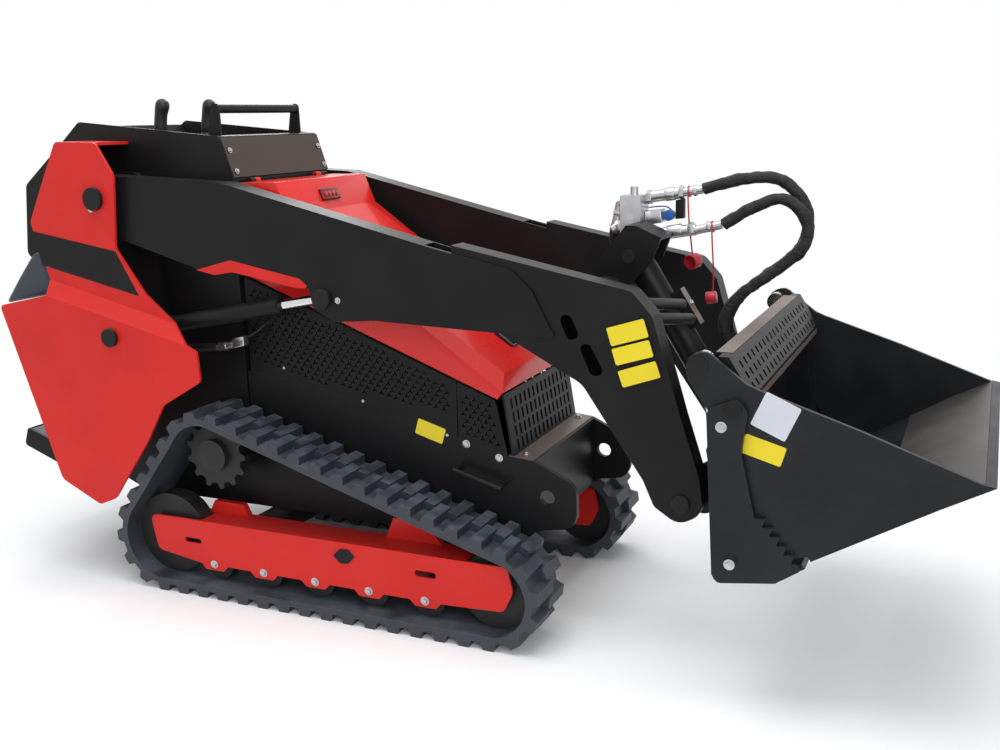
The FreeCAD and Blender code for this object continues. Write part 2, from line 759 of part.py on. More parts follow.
PANEL_REAR = ((-308, 944, 0), (373, 681.1, 0), (373, 520.1, 0), (-150, 640.4, 20), (-308, 661.2, 0))
PANEL_FRONT = ((376, 680, 0), (490, 636, 8), (524, 485.4, 4), (376, 519.4, 0))
panels = plates("side_panels", PANEL_REAR, f"{half} - {cell('panel_wall')}", half)
for side_name, side in SIDES:
    pad(panels, "front_" + side_name, rounded(PANEL_FRONT), *span(side, f"{half} - {cell('panel_wall')}", half))
keep(panels, "side_panels")


def make_handle(tag, side):
    """Bent grab rod on the chassis wall: two legs and a grip."""
    foot = size("chassis_half_width") + size("running_gap")
    reach = foot + 42
    spots = ((384, 441), (514, 404))
    pieces = [bar(tag + "_grip", vector(378, 442.7, side * reach), vector(520, 402.3, side * reach), "7")]
    for index, spot in enumerate(spots):
        pieces.append(bar(f"{tag}_leg_{index}", vector(*spot, side * foot),
                          vector(*spot, side * reach), "6"))
    return fused(tag + "_rod", pieces)


keep(together("grab_handle_pair", [make_handle("handle_" + name, side) for name, side in SIDES]),
     "grab_handles")


def make_grab_bar():
    """Bar across the console with its two ears."""
    body = new_body("grab_bar")
    ear = ((-436, 1303.9, 0), (-382, 1298.8, 0), (-386, 1440, 14), (-412, 1440, 14))
    for index, low in enumerate((-205, 199)):
        pad(body, f"ear_{index}", rounded(ear), f"{low}", f"{low} + 6")
    discs(body, "tube", [(-399, 1424)], "13", "-202", "202")
    keep(body, "grab_bar")


def make_joystick(tag, x, y):
    """Lever with a bent rubber grip on the console's sloping floor."""
    slope = math.atan2(1345 - 1298, 872 - 378)
    foot_z = 1345 - (x + 872) * math.tan(slope)
    boot = doc.addObject("Part::Cone", tag + "_boot")
    boot.Radius1 = 30
    boot.Radius2 = 17
    boot.Height = 44
    boot.Placement.Base = vector(x, foot_z - 10, y)
    stem = bar(tag + "_stem", vector(x, foot_z + 20, y), vector(x + 12, foot_z + 72, y), "15")
    grip = bar(tag + "_grip", vector(x + 12, foot_z + 66, y), vector(x + 2, foot_z + 120, y), "18")
    cap = doc.addObject("Part::Cone", tag + "_cap")
    cap.Radius1 = 18
    cap.Radius2 = 9
    cap.Height = 12
    cap.Placement = FreeCAD.Placement(vector(x + 2, foot_z + 120, y), FreeCAD.Rotation(
        FreeCAD.Vector(0, 0, 1), FreeCAD.Vector(-10, 0, 54)))
    floor = box(tag + "_floor", vector(-60, -60, -60), vector(60, 0, 60))
    turn = FreeCAD.Rotation(FreeCAD.Vector(0, 1, 0), math.degrees(slope))
    corner = vector(x, foot_z + 0.3, y) + turn.multVec(FreeCAD.Vector(-60, -60, -60))
    floor.Placement = FreeCAD.Placement(corner, turn)
    return without(tag + "_lever", fused(tag + "_parts", [boot, stem, grip, cap]), floor)


make_grab_bar()
keep(together("joystick_pair", [make_joystick("joystick_right", -680, -112),
                                make_joystick("joystick_left", -680, 112)]), "joysticks")

# Towers, which carry the arms and the lift cylinders

UPRIGHT = ((-768, 1246, 50), (-634, 1246, 50), (-590, 820, 30), (-590, 600, 20), (-740, 600, 20))
TOWER_UPPER = ((-831, 1340, 15), (-680, 1336, 15), (-622, 1243, 25), (-640, 1035, 15), (-545, 905, 0),
               (-448, 826, 0), (-906, 935, 0), (-961, 1106, 10))
FENDER = ((-1084, 853, 12), (-890, 893, 0), (-382, 772, 10), (-345, 755, 10), (-340, 668, 15),
          (-482, 587, 40), (-550, 475, 30), (-700, 276, 25), (-762, 250, 15), (-906, 316, 20))
REAR_BOX = ((-978, 1012, 10), (-945, 1014, 0), (-904, 892, 0), (-1118, 850, 10), (-1048, 934, 30))


def face_of(points):
    """Flat face of a rounded side-view outline at Y = 0."""
    wire = Part.Wire([edge.toShape() for edge in rounded(points)])
    face = Part.Face(wire)
    face.rotate(FreeCAD.Vector(0, 0, 0), FreeCAD.Vector(1, 0, 0), 90)
    return face


def plate_between(points, low, high):
    """Solid between two distances across the machine."""
    face = face_of(points)
    face.translate(FreeCAD.Vector(0, low, 0))
    return face.extrude(FreeCAD.Vector(0, high - low, 0))


def strip(start, end, low, width):
    """Closed wire round a strip that runs from start to end and is width wide in Y."""
    near = [vector(*start, low), vector(*end, low)]
    far = [vector(*end, low + width), vector(*start, low + width)]
    return Part.makePolygon(near + far + near[:1])


def drilled(solid, spot, radius):
    """Solid with a hole right across it."""
    tool = Part.makeCylinder(radius, 2000, vector(*spot, -1000), FreeCAD.Vector(0, 1, 0))
    return solid.cut(tool)


def make_tower(label, side):
    """Outer tower plate, bent outwards to the fender, with its top and rear webs."""
    inner = size("tower_inner_y")
    low = size("fender_inner_y")
    wall = size("tower_wall")
    joggle = Part.makeLoft([strip((-906, 935), (-448, 826), inner, wall),
                            strip((-890, 893), (-382, 772), low, wall)], True, True)
    root_y = size("console_half_width") + size("running_gap")
    top_web = ((-831, 1340, 0), (-690, 1336.3, 0), (-690, 1328.3, 0), (-826, 1332, 0))
    rear_web = ((-831, 1340, 0), (-823, 1337, 0), (-952, 1105, 0), (-961, 1106, 0))
    shape = plate_between(TOWER_UPPER, inner, inner + wall).fuse([
        joggle, plate_between(FENDER, low, low + wall), plate_between(top_web, root_y, inner + 1),
        plate_between(rear_web, root_y, inner + 1)])
    shape = drilled(shape, ARM_PIN, size("arm_pin_radius") + size("running_gap"))
    shape = drilled(shape, LIFT_BASE, size("lift_pin_radius") + size("running_gap"))
    if side < 0:
        shape = shape.mirror(FreeCAD.Vector(0, 0, 0), FreeCAD.Vector(0, 1, 0))
    feature = doc.addObject("Part::Feature", label + "_shape")
    feature.Shape = shape.removeSplitter()
    keep(feature, label)


def make_braces():
    """Thick inner plates beside the console that hold the pins' inner ends."""
    outer = cell("console_half_width")
    body = plates("tower_braces", UPRIGHT, f"{outer} + {gap}", f"{outer} + {gap} + {cell('upright_wall')}")
    reach = f"{outer} + 40"
    holes(body, "arm_holes", [ARM_PIN], f"{cell('arm_pin_radius')} + {gap}", f"-({reach})", reach)
    holes(body, "lift_holes", [LIFT_BASE], f"{cell('lift_pin_radius')} + {gap}", f"-({reach})", reach)
    keep(body, "tower_braces")


def make_tower_pins():
    body = new_body("tower_pins")
    start = f"{cell('console_half_width')} + 1"
    tower_face = f"{cell('tower_inner_y')} + {cell('tower_wall')}"
    fender_face = f"{cell('fender_inner_y')} + {cell('tower_wall')}"
    for name, side in SIDES:
        discs(body, "arm_pin_" + name, [ARM_PIN], cell("arm_pin_radius"),
              *span(side, start, f"{tower_face} + 12"))
        discs(body, "arm_head_" + name, [ARM_PIN], f"{cell('arm_pin_radius')} + 7",
              *span(side, f"{tower_face} + {gap}", f"{tower_face} + 12"))
        discs(body, "lift_pin_" + name, [LIFT_BASE], cell("lift_pin_radius"),
              *span(side, start, f"{fender_face} + 12"))
        discs(body, "lift_head_" + name, [LIFT_BASE], f"{cell('lift_pin_radius')} + 7",
              *span(side, f"{fender_face} + {gap}", f"{fender_face} + 12"))
    keep(body, "tower_pins")


for side_name, side in SIDES:
    make_tower("tower_" + side_name, side)
make_braces()
make_tower_pins()
keep(plates("knee_pads", REAR_BOX, f"{cell('console_half_width')} + {gap}",
            f"{cell('tower_inner_y')} - {gap}"), "knee_pads")

# Lift arms

ARM_REAR = ((-768, 1246, 66), (-272, 1222, 0), (378, 1060, 0), (600, 1010, 25), (652, 962, 20),
            (700, 868, 20), (722, 846, 8), (560, 849, 0), (201, 862, 20), (75, 852, 30), (9, 884, 20),
            (-3, 939, 0), (-257, 980, 10), (-314, 964, 10), (-768, 1094, 66))
ARM_CHANNEL = ((-640, 1233, 0), (-272, 1213, 0), (160, 1105, 0), (160, 700, 0), (-640, 700, 0))
ARM_FRONT = ((430, 1068, 0), (474, 1059, 0), (908, 970, 30), (960, 912, 30), (1033, 665, 60),
             (1080, 520, 20), (1092, 430, 45), (1030, 396, 45), (968, 436, 30), (940, 500, 40),
             (781, 733, 60), (564, 848, 30), (430, 853, 0))
ARM_HOLLOW = ((172, 1094, 0), (475, 1048, 0), (902, 961, 0), (951, 908, 0), (1022, 664, 0),
              (1040, 570, 0), (955, 540, 0), (790, 742, 0), (568, 858, 0), (201, 872, 0), (172, 874, 0))
WINDOWS = (((718, 905, 14), (752, 905, 14), (778, 850, 14), (744, 840, 14)),
           ((772, 830, 14), (800, 838, 14), (842, 762, 14), (806, 752, 14)))


def make_arm(label, side):
    """Lapped box arm: open channel at the rear, closed bent box in front."""
    body = new_body(label)
    inner, outer, wall = cell("arm_inner_y"), cell("arm_outer_y"), cell("arm_wall")
    pad(body, "rear_plates", rounded(ARM_REAR), *span(side, inner, outer))
    cut(body, "channel", rounded(ARM_CHANNEL), *span(side, f"{inner} + {wall}", f"{outer} - {wall}"))
    pad(body, "front_box", rounded(ARM_FRONT), *span(side, inner, f"{outer} - {wall}"))
    cut(body, "hollow", rounded(ARM_HOLLOW), *span(side, f"{inner} + {wall}", f"{outer} - 2 * {wall}"))
    low, high = span(side, inner, outer)
    holes(body, "arm_bore", [ARM_PIN], f"{cell('arm_pin_radius')} + {gap}", low, high)
    holes(body, "rod_bore", [ROD_PIN], f"{cell('lift_pin_radius')} + {gap}", low, high)
    holes(body, "bucket_bore", [BUCKET_PIN], f"{cell('bucket_pin_radius')} + {gap}", low, high)
    for index, outline in enumerate(WINDOWS):
        cut(body, f"window_{index}", rounded(outline), *span(side, f"{outer} - {wall} - 20", outer))
    keep(body, label)


def make_arm_pins():
    """Pins that stay on the arms: the lift rods' and the tilt cylinder's upper one."""
    body = new_body("arm_pins")
    inner, outer = cell("arm_inner_y"), cell("arm_outer_y")
    wall = cell("arm_wall")
    for name, side in SIDES:
        discs(body, "inner_end_" + name, [ROD_PIN], cell("lift_pin_radius"),
              *span(side, f"{inner} - 4", f"{inner} + {wall}"))
        discs(body, "outer_end_" + name, [ROD_PIN], cell("lift_pin_radius"),
              *span(side, f"{outer} - {wall}", f"{outer} + 12"))
        discs(body, "head_" + name, [ROD_PIN], f"{cell('lift_pin_radius')} + 7",
              *span(side, f"{outer} + {gap}", f"{outer} + 12"))
    reach = f"({cell('tilt_ear_inner_y')} + {cell('tilt_ear_wall')} + 8)"
    discs(body, "tilt_pin", [TILT_BASE], cell("tilt_pin_radius"), f"-{reach}", reach)
    keep(body, "arm_pins")


BRACKET = ((690, 930, 0), (708, 985, 10), (795, 1096, 10), (822, 1096, 0), (892, 1066, 10),
           (866, 1000, 20), (800, 930, 20), (780, 880, 0))
BRACKET_TOP = ((795, 1096, 0), (822, 1096, 0), (892, 1066, 0), (889, 1058, 0), (820, 1088, 0),
               (800, 1088, 0), (716, 985, 0), (708, 985, 0))


def make_cross_member():
    """Tube between the arms with the ears that hold the tilt cylinder."""
    body = new_body("arm_cross_member")
    reach = f"{cell('arm_inner_y')} - {gap}"
    spot = (size("cross_tube_x"), size("cross_tube_z"))
    discs(body, "tube", [spot], cell("cross_tube_radius"), f"-({reach})", reach)
    ear_inner = cell("tilt_ear_inner_y")
    ear_outer = f"{ear_inner} + {cell('tilt_ear_wall')}"
    for side_name, side in SIDES:
        pad(body, "ear_" + side_name, rounded(BRACKET), *span(side, ear_inner, ear_outer))
    pad(body, "ear_top", rounded(BRACKET_TOP), f"-({ear_outer})", ear_outer)
    holes(body, "tube_bore", [spot], f"{cell('cross_tube_radius')} - 9", f"-({reach})", reach)
    holes(body, "pin_holes", [TILT_BASE], f"{cell('tilt_pin_radius')} + {gap}",
          f"-({ear_outer})", ear_outer)
    keep(body, "arm_cross_member")


for side_name, side in SIDES:
    make_arm("arm_" + side_name, side)
make_arm_pins()
make_cross_member()

# Hydraulic cylinders

arm_middle_y = (size("arm_inner_y") + size("arm_outer_y")) / 2
clam_middle_y = size("cheek_inner_y") + size("bucket_wall") + size("moving_gap") + size(
    "clam_barrel_radius")


def make_cylinder(name, suffix, base, eye, y, pins, eye_width):
    """Barrel from its base pin and rod to its eye; pins holds the two pin radii."""
    start, end = vector(*base, y), vector(*eye, y)
    along = (end - start).normalize()
    radius = size(name + "_barrel_radius")
    length = size(name + "_barrel_length")
    rod_radius = size(name + "_rod_radius")
    play = size("running_gap")
    half_eye = eye_width / 2
    base_pin, eye_pin = pins
    tag = name + suffix
    tube = bar(tag + "_tube", start + along * (base_pin + 8), start + along * length,
               cell(name + "_barrel_radius"))
    collar = bar(tag + "_collar", start + along * (length - 28), start + along * (length - 4),
                 f"{radius} + 2")
    lug = across(tag + "_lug", *base, y - half_eye, y + half_eye, f"{base_pin} + 12")
    bore = bar(tag + "_bore", start + along * (base_pin + 14), start + along * (length + 5),
               f"{rod_radius} + {play}")
    hole = across(tag + "_base_hole", *base, y - radius - 20, y + radius + 20, f"{base_pin} + {play}")
    barrel = without(tag + "_barrel_cut", fused(tag + "_barrel_sum", [tube, collar, lug]),
                     fused(tag + "_barrel_tools", [bore, hole]))
    rod_start = end - along * size(name + "_rod_length")
    stem = bar(tag + "_stem", rod_start, end - along * (eye_pin + 6), cell(name + "_rod_radius"))
    head = across(tag + "_head", *eye, y - half_eye, y + half_eye, f"{eye_pin} + 11")
    return barrel, fused(tag + "_rod_sum", [stem, head])


def with_valve(barrel):
    """Tilt barrel with the check valve's block clamped along its front."""
    start, end = vector(*TILT_BASE), vector(*TILT_EYE)
    along = (end - start).normalize()
    turn = FreeCAD.Rotation(FreeCAD.Vector(0, 1, 0), math.degrees(math.atan2(-along.z, along.x)))
    out = turn.multVec(FreeCAD.Vector(0, 0, 1))
    radius = size("tilt_barrel_radius")
    block = doc.addObject("Part::Box", "check_valve")
    block.Length, block.Width, block.Height = 110, 40, 32
    corner = start + along * 142 + out * (radius - 6) - FreeCAD.Vector(0, 20, 0)
    block.Placement = FreeCAD.Placement(corner, turn)
    return fused("tilt_barrel_with_valve", [barrel, block])


lift_pins = (size("lift_pin_radius"), size("lift_pin_radius"))
tilt_pins = (size("tilt_pin_radius"), size("tilt_pin_radius"))
clam_pins = (size("clam_pin_radius"), size("clam_pin_radius"))
tilt_barrel, tilt_rod = make_cylinder("tilt", "", TILT_BASE, TILT_EYE, 0, tilt_pins, 80)
keep(with_valve(tilt_barrel), "tilt_barrel")
keep(tilt_rod, "tilt_rod")
lifts = [make_cylinder("lift", "_" + name, LIFT_BASE, ROD_PIN, side * arm_middle_y, lift_pins, 48)
         for name, side in SIDES]
keep(together("lift_barrel_pair", [barrel for barrel, rod in lifts]), "lift_barrels")
keep(together("lift_rod_pair", [rod for barrel, rod in lifts]), "lift_rods")
clams = [make_cylinder("clam", "_" + name, CLAM_BASE, CLAM_EYE, side * clam_middle_y, clam_pins, 44)
         for name, side in SIDES]
keep(together("clam_barrel_pair", [barrel for barrel, rod in clams]), "clam_barrels")
keep(together("clam_rod_pair", [rod for barrel, rod in clams]), "clam_rods")

# Bucket, hung on the coupler

cheek_inner = cell("cheek_inner_y")
cheek_outer = f"({cheek_inner} + {cell('bucket_wall')})"
shell_outer = cell("bucket_half_width")
shell_inner = f"({shell_outer} - {cell('bucket_wall')})"
jaw_outer = f"({shell_inner} - {cell('moving_gap')})"
jaw_inner = f"({jaw_outer} - {cell('bucket_wall')})"
cover_outer = f"({jaw_inner} - {cell('moving_gap')})"

COUPLER_EAR = ((1000, 412, 25), (1080, 405, 15), (1144.2, 440, 0), (1129.6, 700, 0), (1113, 700, 0),
               (1110, 560, 40), (1020, 502, 30), (996, 470, 20))
COUPLER_PLATE = ((1144.2, 440, 0), (1129.6, 700, 0), (1115.6, 700, 0), (1130.2, 440, 0))
TILT_EAR = ((1070, 560, 10), (1137.3, 560, 0), (1130, 690, 0), (1112, 690, 10), (1046, 640, 15),
            (1026, 590, 20))


# Where the clam hoses end on the coupler: x, z
HOSE_END = (1093, 625)


def make_coupler():
    """Frame at the arms' tips that carries the bucket."""
    body = new_body("coupler")
    outer = cell("coupler_half_width")
    inner = f"({outer} - {cell('coupler_ear_wall')})"
    pad(body, "back_plate", rounded(COUPLER_PLATE), f"-{outer}", outer)
    ear_inner = cell("tilt_ear_inner_y")
    ear_outer = f"({ear_inner} + {cell('tilt_ear_wall')})"
    for side_name, side in SIDES:
        pad(body, "arm_ear_" + side_name, rounded(COUPLER_EAR), *span(side, inner, outer))
        pad(body, "tilt_ear_" + side_name, rounded(TILT_EAR), *span(side, ear_inner, ear_outer))
    holes(body, "arm_holes", [BUCKET_PIN], f"{cell('bucket_pin_radius')} + {gap}", f"-{outer}", outer)
    holes(body, "tilt_holes", [TILT_EYE], f"{cell('tilt_pin_radius')} + {gap}", f"-{outer}", outer)
    ports = ((HOSE_END[0] - 17, HOSE_END[1] - 34, 0), (1127, HOSE_END[1] - 34, 0),
             (1125, HOSE_END[1], 0), (HOSE_END[0] - 17, HOSE_END[1], 0))
    pad(body, "hose_ports", rounded(ports), f"({cell('hose_lower_y')} - 16)", f"({cell('hose_upper_y')} + 16)")
    keep(body, "coupler")


BACK = ((1128, 738, 0), (1151, 330, 40), (1295, 343, 0), (1358, 386, 0), (1350, 396, 0),
        (1290, 356, 0), (1162, 343, 28), (1140, 732, 0), (1222, 732, 0), (1222, 738, 0))
HEEL_TOP = 395
CHEEK = ((1134, 735, 0), (1206, 735, 0), (1208, 640, 0), (1238, 470, 0), (1268, 402, 0),
         (1287, 349, 0), (1172, 338.5, 0), (1156, 352, 0), (1153, 395, 0))
COVER = ((1199, 734, 0), (1205, 734, 0), (1207, 640, 0), (1237, 470, 0), (1267, 402, 0),
         (1287, 350, 0), (1280, 350, 0), (1261, 399, 0), (1231, 469, 0), (1201, 640, 0))

# Serrated front edge of the side plates: first tooth's top, step to the next, count
TEETH = ((1244, 493), (16.5, -19.5), 5)


def side_plate_outline():
    (x, z), (step_x, step_z), count = TEETH
    teeth = []
    for index in range(count):
        teeth.append((x + index * step_x, z + index * step_z, 0))
        teeth.append((x + index * step_x + 24, z + index * step_z, 0))
    return ([(1130, 736, 20), (1170, 754, 0), (1206, 762, 30), (1222, 735, 12), (1211, 639, 60)]
            + teeth + [(1327, 394, 0), (1357, 388, 6), (1295, 345, 0), (1162, 326, 15),
                       (1150, 346, 0)])


def make_moldboard():
    """Rear half of the bucket: back, wrapped heel, cheeks and serrated side plates."""
    body = new_body("moldboard")
    heel_end = f"({shell_inner} + 1)"
    pad(body, "back", rounded(BACK), f"-{heel_end}", heel_end)
    above_heel = ((1090, HEEL_TOP, 0), (1260, HEEL_TOP, 0), (1260, 780, 0), (1090, 780, 0))
    for name, side in SIDES:
        cut(body, "cylinder_room_" + name, rounded(above_heel),
            *span(side, cheek_outer, f"({shell_outer} + 5)"))
    for name, side in SIDES:
        pad(body, "cheek_" + name, rounded(CHEEK), *span(side, cheek_inner, cheek_outer))
        pad(body, "cover_" + name, rounded(COVER), *span(side, f"({cheek_outer} - 1)", cover_outer))
        pad(body, "shell_side_" + name, rounded(side_plate_outline()),
            *span(side, shell_inner, shell_outer))
        holes(body, "jaw_hole_" + name, [JAW_PIN], f"{cell('jaw_pin_radius')} + {gap}",
              *span(side, jaw_inner, f"({shell_outer} + 5)"))
        holes(body, "clam_hole_" + name, [CLAM_BASE], f"{cell('clam_pin_radius')} + {gap}",
              *span(side, f"({cheek_inner} - 5)", f"({shell_outer} + 5)"))
    keep(body, "moldboard")


def make_bucket_pins():
    """Pins that ride on the bucket: at the arms, the tilt rod, the jaw and the clam barrels."""
    pins = new_body("bucket_pins")
    ear_inner = f"({cell('coupler_half_width')} - {cell('coupler_ear_wall')})"
    tilt_reach = f"({cell('tilt_ear_inner_y')} + {cell('tilt_ear_wall')})"
    for side_name, side in SIDES:
        discs(pins, "arm_pin_" + side_name, [BUCKET_PIN], cell("bucket_pin_radius"),
              *span(side, f"({ear_inner} + 1)", f"({cell('arm_outer_y')} + 2)"))
        discs(pins, "jaw_pin_" + side_name, [JAW_PIN], cell("jaw_pin_radius"),
              *span(side, f"({jaw_inner} - 4)", f"({shell_outer} + 4)"))
        discs(pins, "clam_pin_" + side_name, [CLAM_BASE], cell("clam_pin_radius"),
              *span(side, f"({cheek_inner} + 1)", f"({shell_outer} + 2)"))
        discs(pins, "tilt_end_" + side_name, [TILT_EYE], cell("tilt_pin_radius"),
              *span(side, cell("tilt_ear_inner_y"), f"({tilt_reach} + 6)"))
    keep(pins, "bucket_pins")


GUARD = ((1128, 738.3, 0), (1128, 850, 5), (1170, 850, 5), (1224, 762, 0), (1224, 738.3, 0),
         (1204, 738.3, 0), (1204, 743, 0), (1219, 743, 0), (1219, 760, 0), (1167, 845, 0),
         (1133, 845, 0), (1133, 738.3, 0))


GUARD_END = ((1147, 740, 0), (1147, 848, 0), (1169, 848, 0), (1222, 761, 0), (1222, 740, 0))

# Middles of the guard's rows of slots, and the columns' count, pitch and slot width
GUARD_ROWS = ((1177.5, 824), (1192, 800), (1207, 776))
GUARD_COLUMNS = (20, 44, 14)


def make_guard():
    body = new_body("spill_guard")
    outer = f"({cover_outer} - 6)"
    pad(body, "channel", rounded(GUARD), f"-{outer}", outer)
    rod_notch = ((1110, 730, 0), (1146, 730, 0), (1146, 870, 0), (1110, 870, 0))
    for side_name, side in SIDES:
        cut(body, "rod_notch_" + side_name, rounded(rod_notch), *span(side, "430", "490"))
        pad(body, "end_plate_" + side_name, rounded(GUARD_END), *span(side, f"({outer} - 5)", outer))
    rows = []
    for x, z in GUARD_ROWS:
        rows += rounded(((x - 13, z + 8, 0), (x + 13, z + 8, 0), (x + 13, z - 8, 0), (x - 13, z - 8, 0)))
    columns, pitch, slot = GUARD_COLUMNS
    for index in range(columns):
        middle = (index - (columns - 1) / 2) * pitch
        cut(body, f"slots_{index}", rows, f"{middle - slot / 2}", f"{middle + slot / 2}")
    keep(body, "spill_guard")


JAW_SIDE = ((1078, 852, 26), (1124, 866, 26), (1215, 796, 0), (1242, 785, 0), (1461, 712, 0),
            (1716, 618, 8), (1712, 606, 0), (1616, 566, 0), (1369, 414, 0), (1310, 400, 20),
            (1222, 520, 60), (1186, 690, 30), (1150, 702, 20), (1080, 802, 28))
JAW_FLOOR = ((1369, 402, 0), (1626, 556, 0), (1734, 617, 0), (1712, 621, 0), (1612, 568, 0),
             (1361, 414, 0))


def make_jaw():
    """Front half of the bucket: floor with its cutting edge, and two side plates."""
    body = new_body("jaw")
    pad(body, "floor", rounded(JAW_FLOOR), f"-{jaw_outer}", jaw_outer)
    for side_name, side in SIDES:
        pad(body, "side_" + side_name, rounded(JAW_SIDE), *span(side, jaw_inner, jaw_outer))
    holes(body, "jaw_holes", [JAW_PIN], f"{cell('jaw_pin_radius')} + {gap}", f"-{jaw_outer}", jaw_outer)
    holes(body, "eye_holes", [CLAM_EYE], f"{cell('clam_pin_radius')} + {gap}",
          f"-{jaw_outer}", jaw_outer)
    keep(body, "jaw")
    pins = new_body("jaw_pins")
    for side_name, side in SIDES:
        discs(pins, "pin_" + side_name, [CLAM_EYE], cell("clam_pin_radius"),
              *span(side, jaw_inner, f"{jaw_outer} + 4"))
        discs(pins, "head_" + side_name, [CLAM_EYE], f"{cell('clam_pin_radius')} + 8",
              *span(side, f"{jaw_outer} + {gap}", f"{jaw_outer} + 4"))
    keep(pins, "jaw_pins")


make_coupler()
make_moldboard()
make_bucket_pins()
make_guard()
make_jaw()

# Hydraulic lines on the arms: valve block, couplers, and the hoses to the bucket


def along_route(name, points, radius):
    """Tube along straight runs joined by tangent arcs as large as the runs allow."""
    edges = []
    last = points[0]
    for index in range(1, len(points) - 1):
        here = points[index]
        back, ahead = points[index - 1] - here, points[index + 1] - here
        reach = 0.45 * min(back.Length, ahead.Length)
        half_turn = (math.pi - back.getAngle(ahead)) / 2
        print(f"{name}: radius {reach / math.tan(half_turn):.0f} at point {index}")
        back.normalize()
        ahead.normalize()
        start, end = here + back * reach, here + ahead * reach
        bend = reach / math.tan(half_turn)
        inward = (back + ahead).normalize()
        middle = here + inward * (bend / math.cos(half_turn) - bend)
        edges += [Part.LineSegment(last, start).toShape(), Part.Arc(start, middle, end).toShape()]
        last = end
    edges.append(Part.LineSegment(last, points[-1]).toShape())
    path = doc.addObject("Part::Feature", name + "_path")
    path.Shape = Part.Wire(edges)
    ring = doc.addObject("Part::Feature", name + "_ring")
    ring.Shape = Part.Wire([Part.makeCircle(radius, points[0], points[1] - points[0])])
    tube = doc.addObject("Part::Sweep", name + "_tube")
    tube.Sections = [ring]
    tube.Spine = path
    tube.Solid = True
    tube.Frenet = True
    doc.recompute()
    length = sum(edge.Length for edge in edges)
    share = tube.Shape.Volume / (math.pi * radius ** 2 * length)
    print(f"{name}: length {length:.0f}, volume against section times length {share:.4f}")
    return tube


# Both hoses share their last stretch: x, z
HOSE_TAIL = ((1132, 948), (1052, 885), (1022, 800), (HOSE_END[0] - 1, 722),
             (HOSE_END[0] - 1, HOSE_END[1] + size("running_gap")))
HOSE_UPPER = ((960, 1180.5), (1106, 1226), (1204, 1190), (1248, 1104), (1222, 1014))
HOSE_LOWER = ((1025, 1091), (1143, 1165), (1210, 1152), (1249, 1096), (1240, 1028))
FEED = ((710, 1078, 120), (701, 1035, 120), (703, 1000, 165), (706, 985, 240),
        (706, 985, size("arm_inner_y") - size("running_gap")))

hose_radius = size("hose_radius")
for label, route, y in (("hose_upper", HOSE_UPPER, size("hose_upper_y")),
                        ("hose_lower", HOSE_LOWER, size("hose_lower_y"))):
    line = [vector(x, z, y) for x, z in route + HOSE_TAIL]
    keep(together(label + "_line", [along_route(label, line, hose_radius)]), label)
keep(together("feed_line", [along_route("feed_hose", [vector(*spot) for spot in FEED], 15)]), "feed_hose")

# Rods of the couplers and elbows: name, start x, z, end x, z, y, radius
FITTINGS = (("upper_body", 796, 1157, 905, 1172, 120, 16), ("upper_end", 903, 1172, 957.2, 1180.0, 120, 12),
            ("lower_body", 796, 1054, 950, 1075.5, 80, 16), ("lower_end", 948, 1073, 1020.0, 1089.6, 80, 12),
            ("upper_elbow", 748, 1150, 722, 1138, 120, 14), ("upper_drop", 724, 1142, 710.4, 1079.6, 120, 14),
            ("lower_elbow", 748, 1088, 716, 1068, 84, 14), ("relief_cap", 770, 1160, 770, 1188, 100, 11))


def make_line_fittings():
    """Valve block beside the tilt bracket with its couplers and elbows."""
    inner = size("tilt_ear_inner_y") + size("tilt_ear_wall") + size("running_gap")
    block = box("valve_body", vector(742, 1036, inner), vector(800, 1166, inner + 78))
    pieces = [block]
    for name, start_x, start_z, end_x, end_z, y, radius in FITTINGS:
        pieces.append(bar("line_" + name, vector(start_x, start_z, y), vector(end_x, end_z, y), f"{radius}"))
    keep(together("line_group", [fused("line_parts", pieces)]), "line_fittings")


make_line_fittings()

# Check every object, then write one file for each sub-part

doc.recompute()
failed = [item.Name for item in doc.Objects if {"Invalid", "Error"} & set(item.State)]
if failed:
    raise RuntimeError(f"features that failed: {failed}")
os.makedirs("parts", exist_ok=True)
for node in NODES:
    if node.Shape.isNull() or not node.Shape.isValid():
        raise RuntimeError(f"{node.Label} has no valid shape")
    node.Shape.exportStep(f"parts/{node.Label}.step")
print(f"{len(NODES)} sub-parts written")
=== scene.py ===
# %% [markdown]
# # Mini skid steer loader
# This lesson dresses a finished CAD model of a small tracked loader, which is driven standing
# on a platform behind it. The lesson gives them their finishes and adds the cords, slots,
# screws, caps and soft shapes that a solid model leaves out. Sizes are in metres: X points
# forward to the bucket, Y to the operator's left and Z up.

import math

import bpy
from mathutils import Matrix, Vector


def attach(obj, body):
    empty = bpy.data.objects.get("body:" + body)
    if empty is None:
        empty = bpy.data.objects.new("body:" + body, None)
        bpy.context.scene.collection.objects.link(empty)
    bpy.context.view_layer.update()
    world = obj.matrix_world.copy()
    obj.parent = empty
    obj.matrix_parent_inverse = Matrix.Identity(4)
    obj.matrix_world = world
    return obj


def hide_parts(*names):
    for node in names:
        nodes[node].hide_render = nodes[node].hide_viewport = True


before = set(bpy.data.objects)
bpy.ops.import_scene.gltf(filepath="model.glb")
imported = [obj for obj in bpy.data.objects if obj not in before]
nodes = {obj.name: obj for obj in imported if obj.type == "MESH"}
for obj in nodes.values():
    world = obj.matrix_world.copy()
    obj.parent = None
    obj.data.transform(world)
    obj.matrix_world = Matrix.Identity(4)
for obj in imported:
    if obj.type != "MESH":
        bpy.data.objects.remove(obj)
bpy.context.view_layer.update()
scene = bpy.context.scene

# %% [markdown]
# The camera stands at the front right, a little above the arms, and looks back over the
# machine. A constraint could aim it at a target, but it would leave the roll to chance. So it
# is set by where it stands and by three angles, and its matrix is written column by column:
# right, up and backwards.

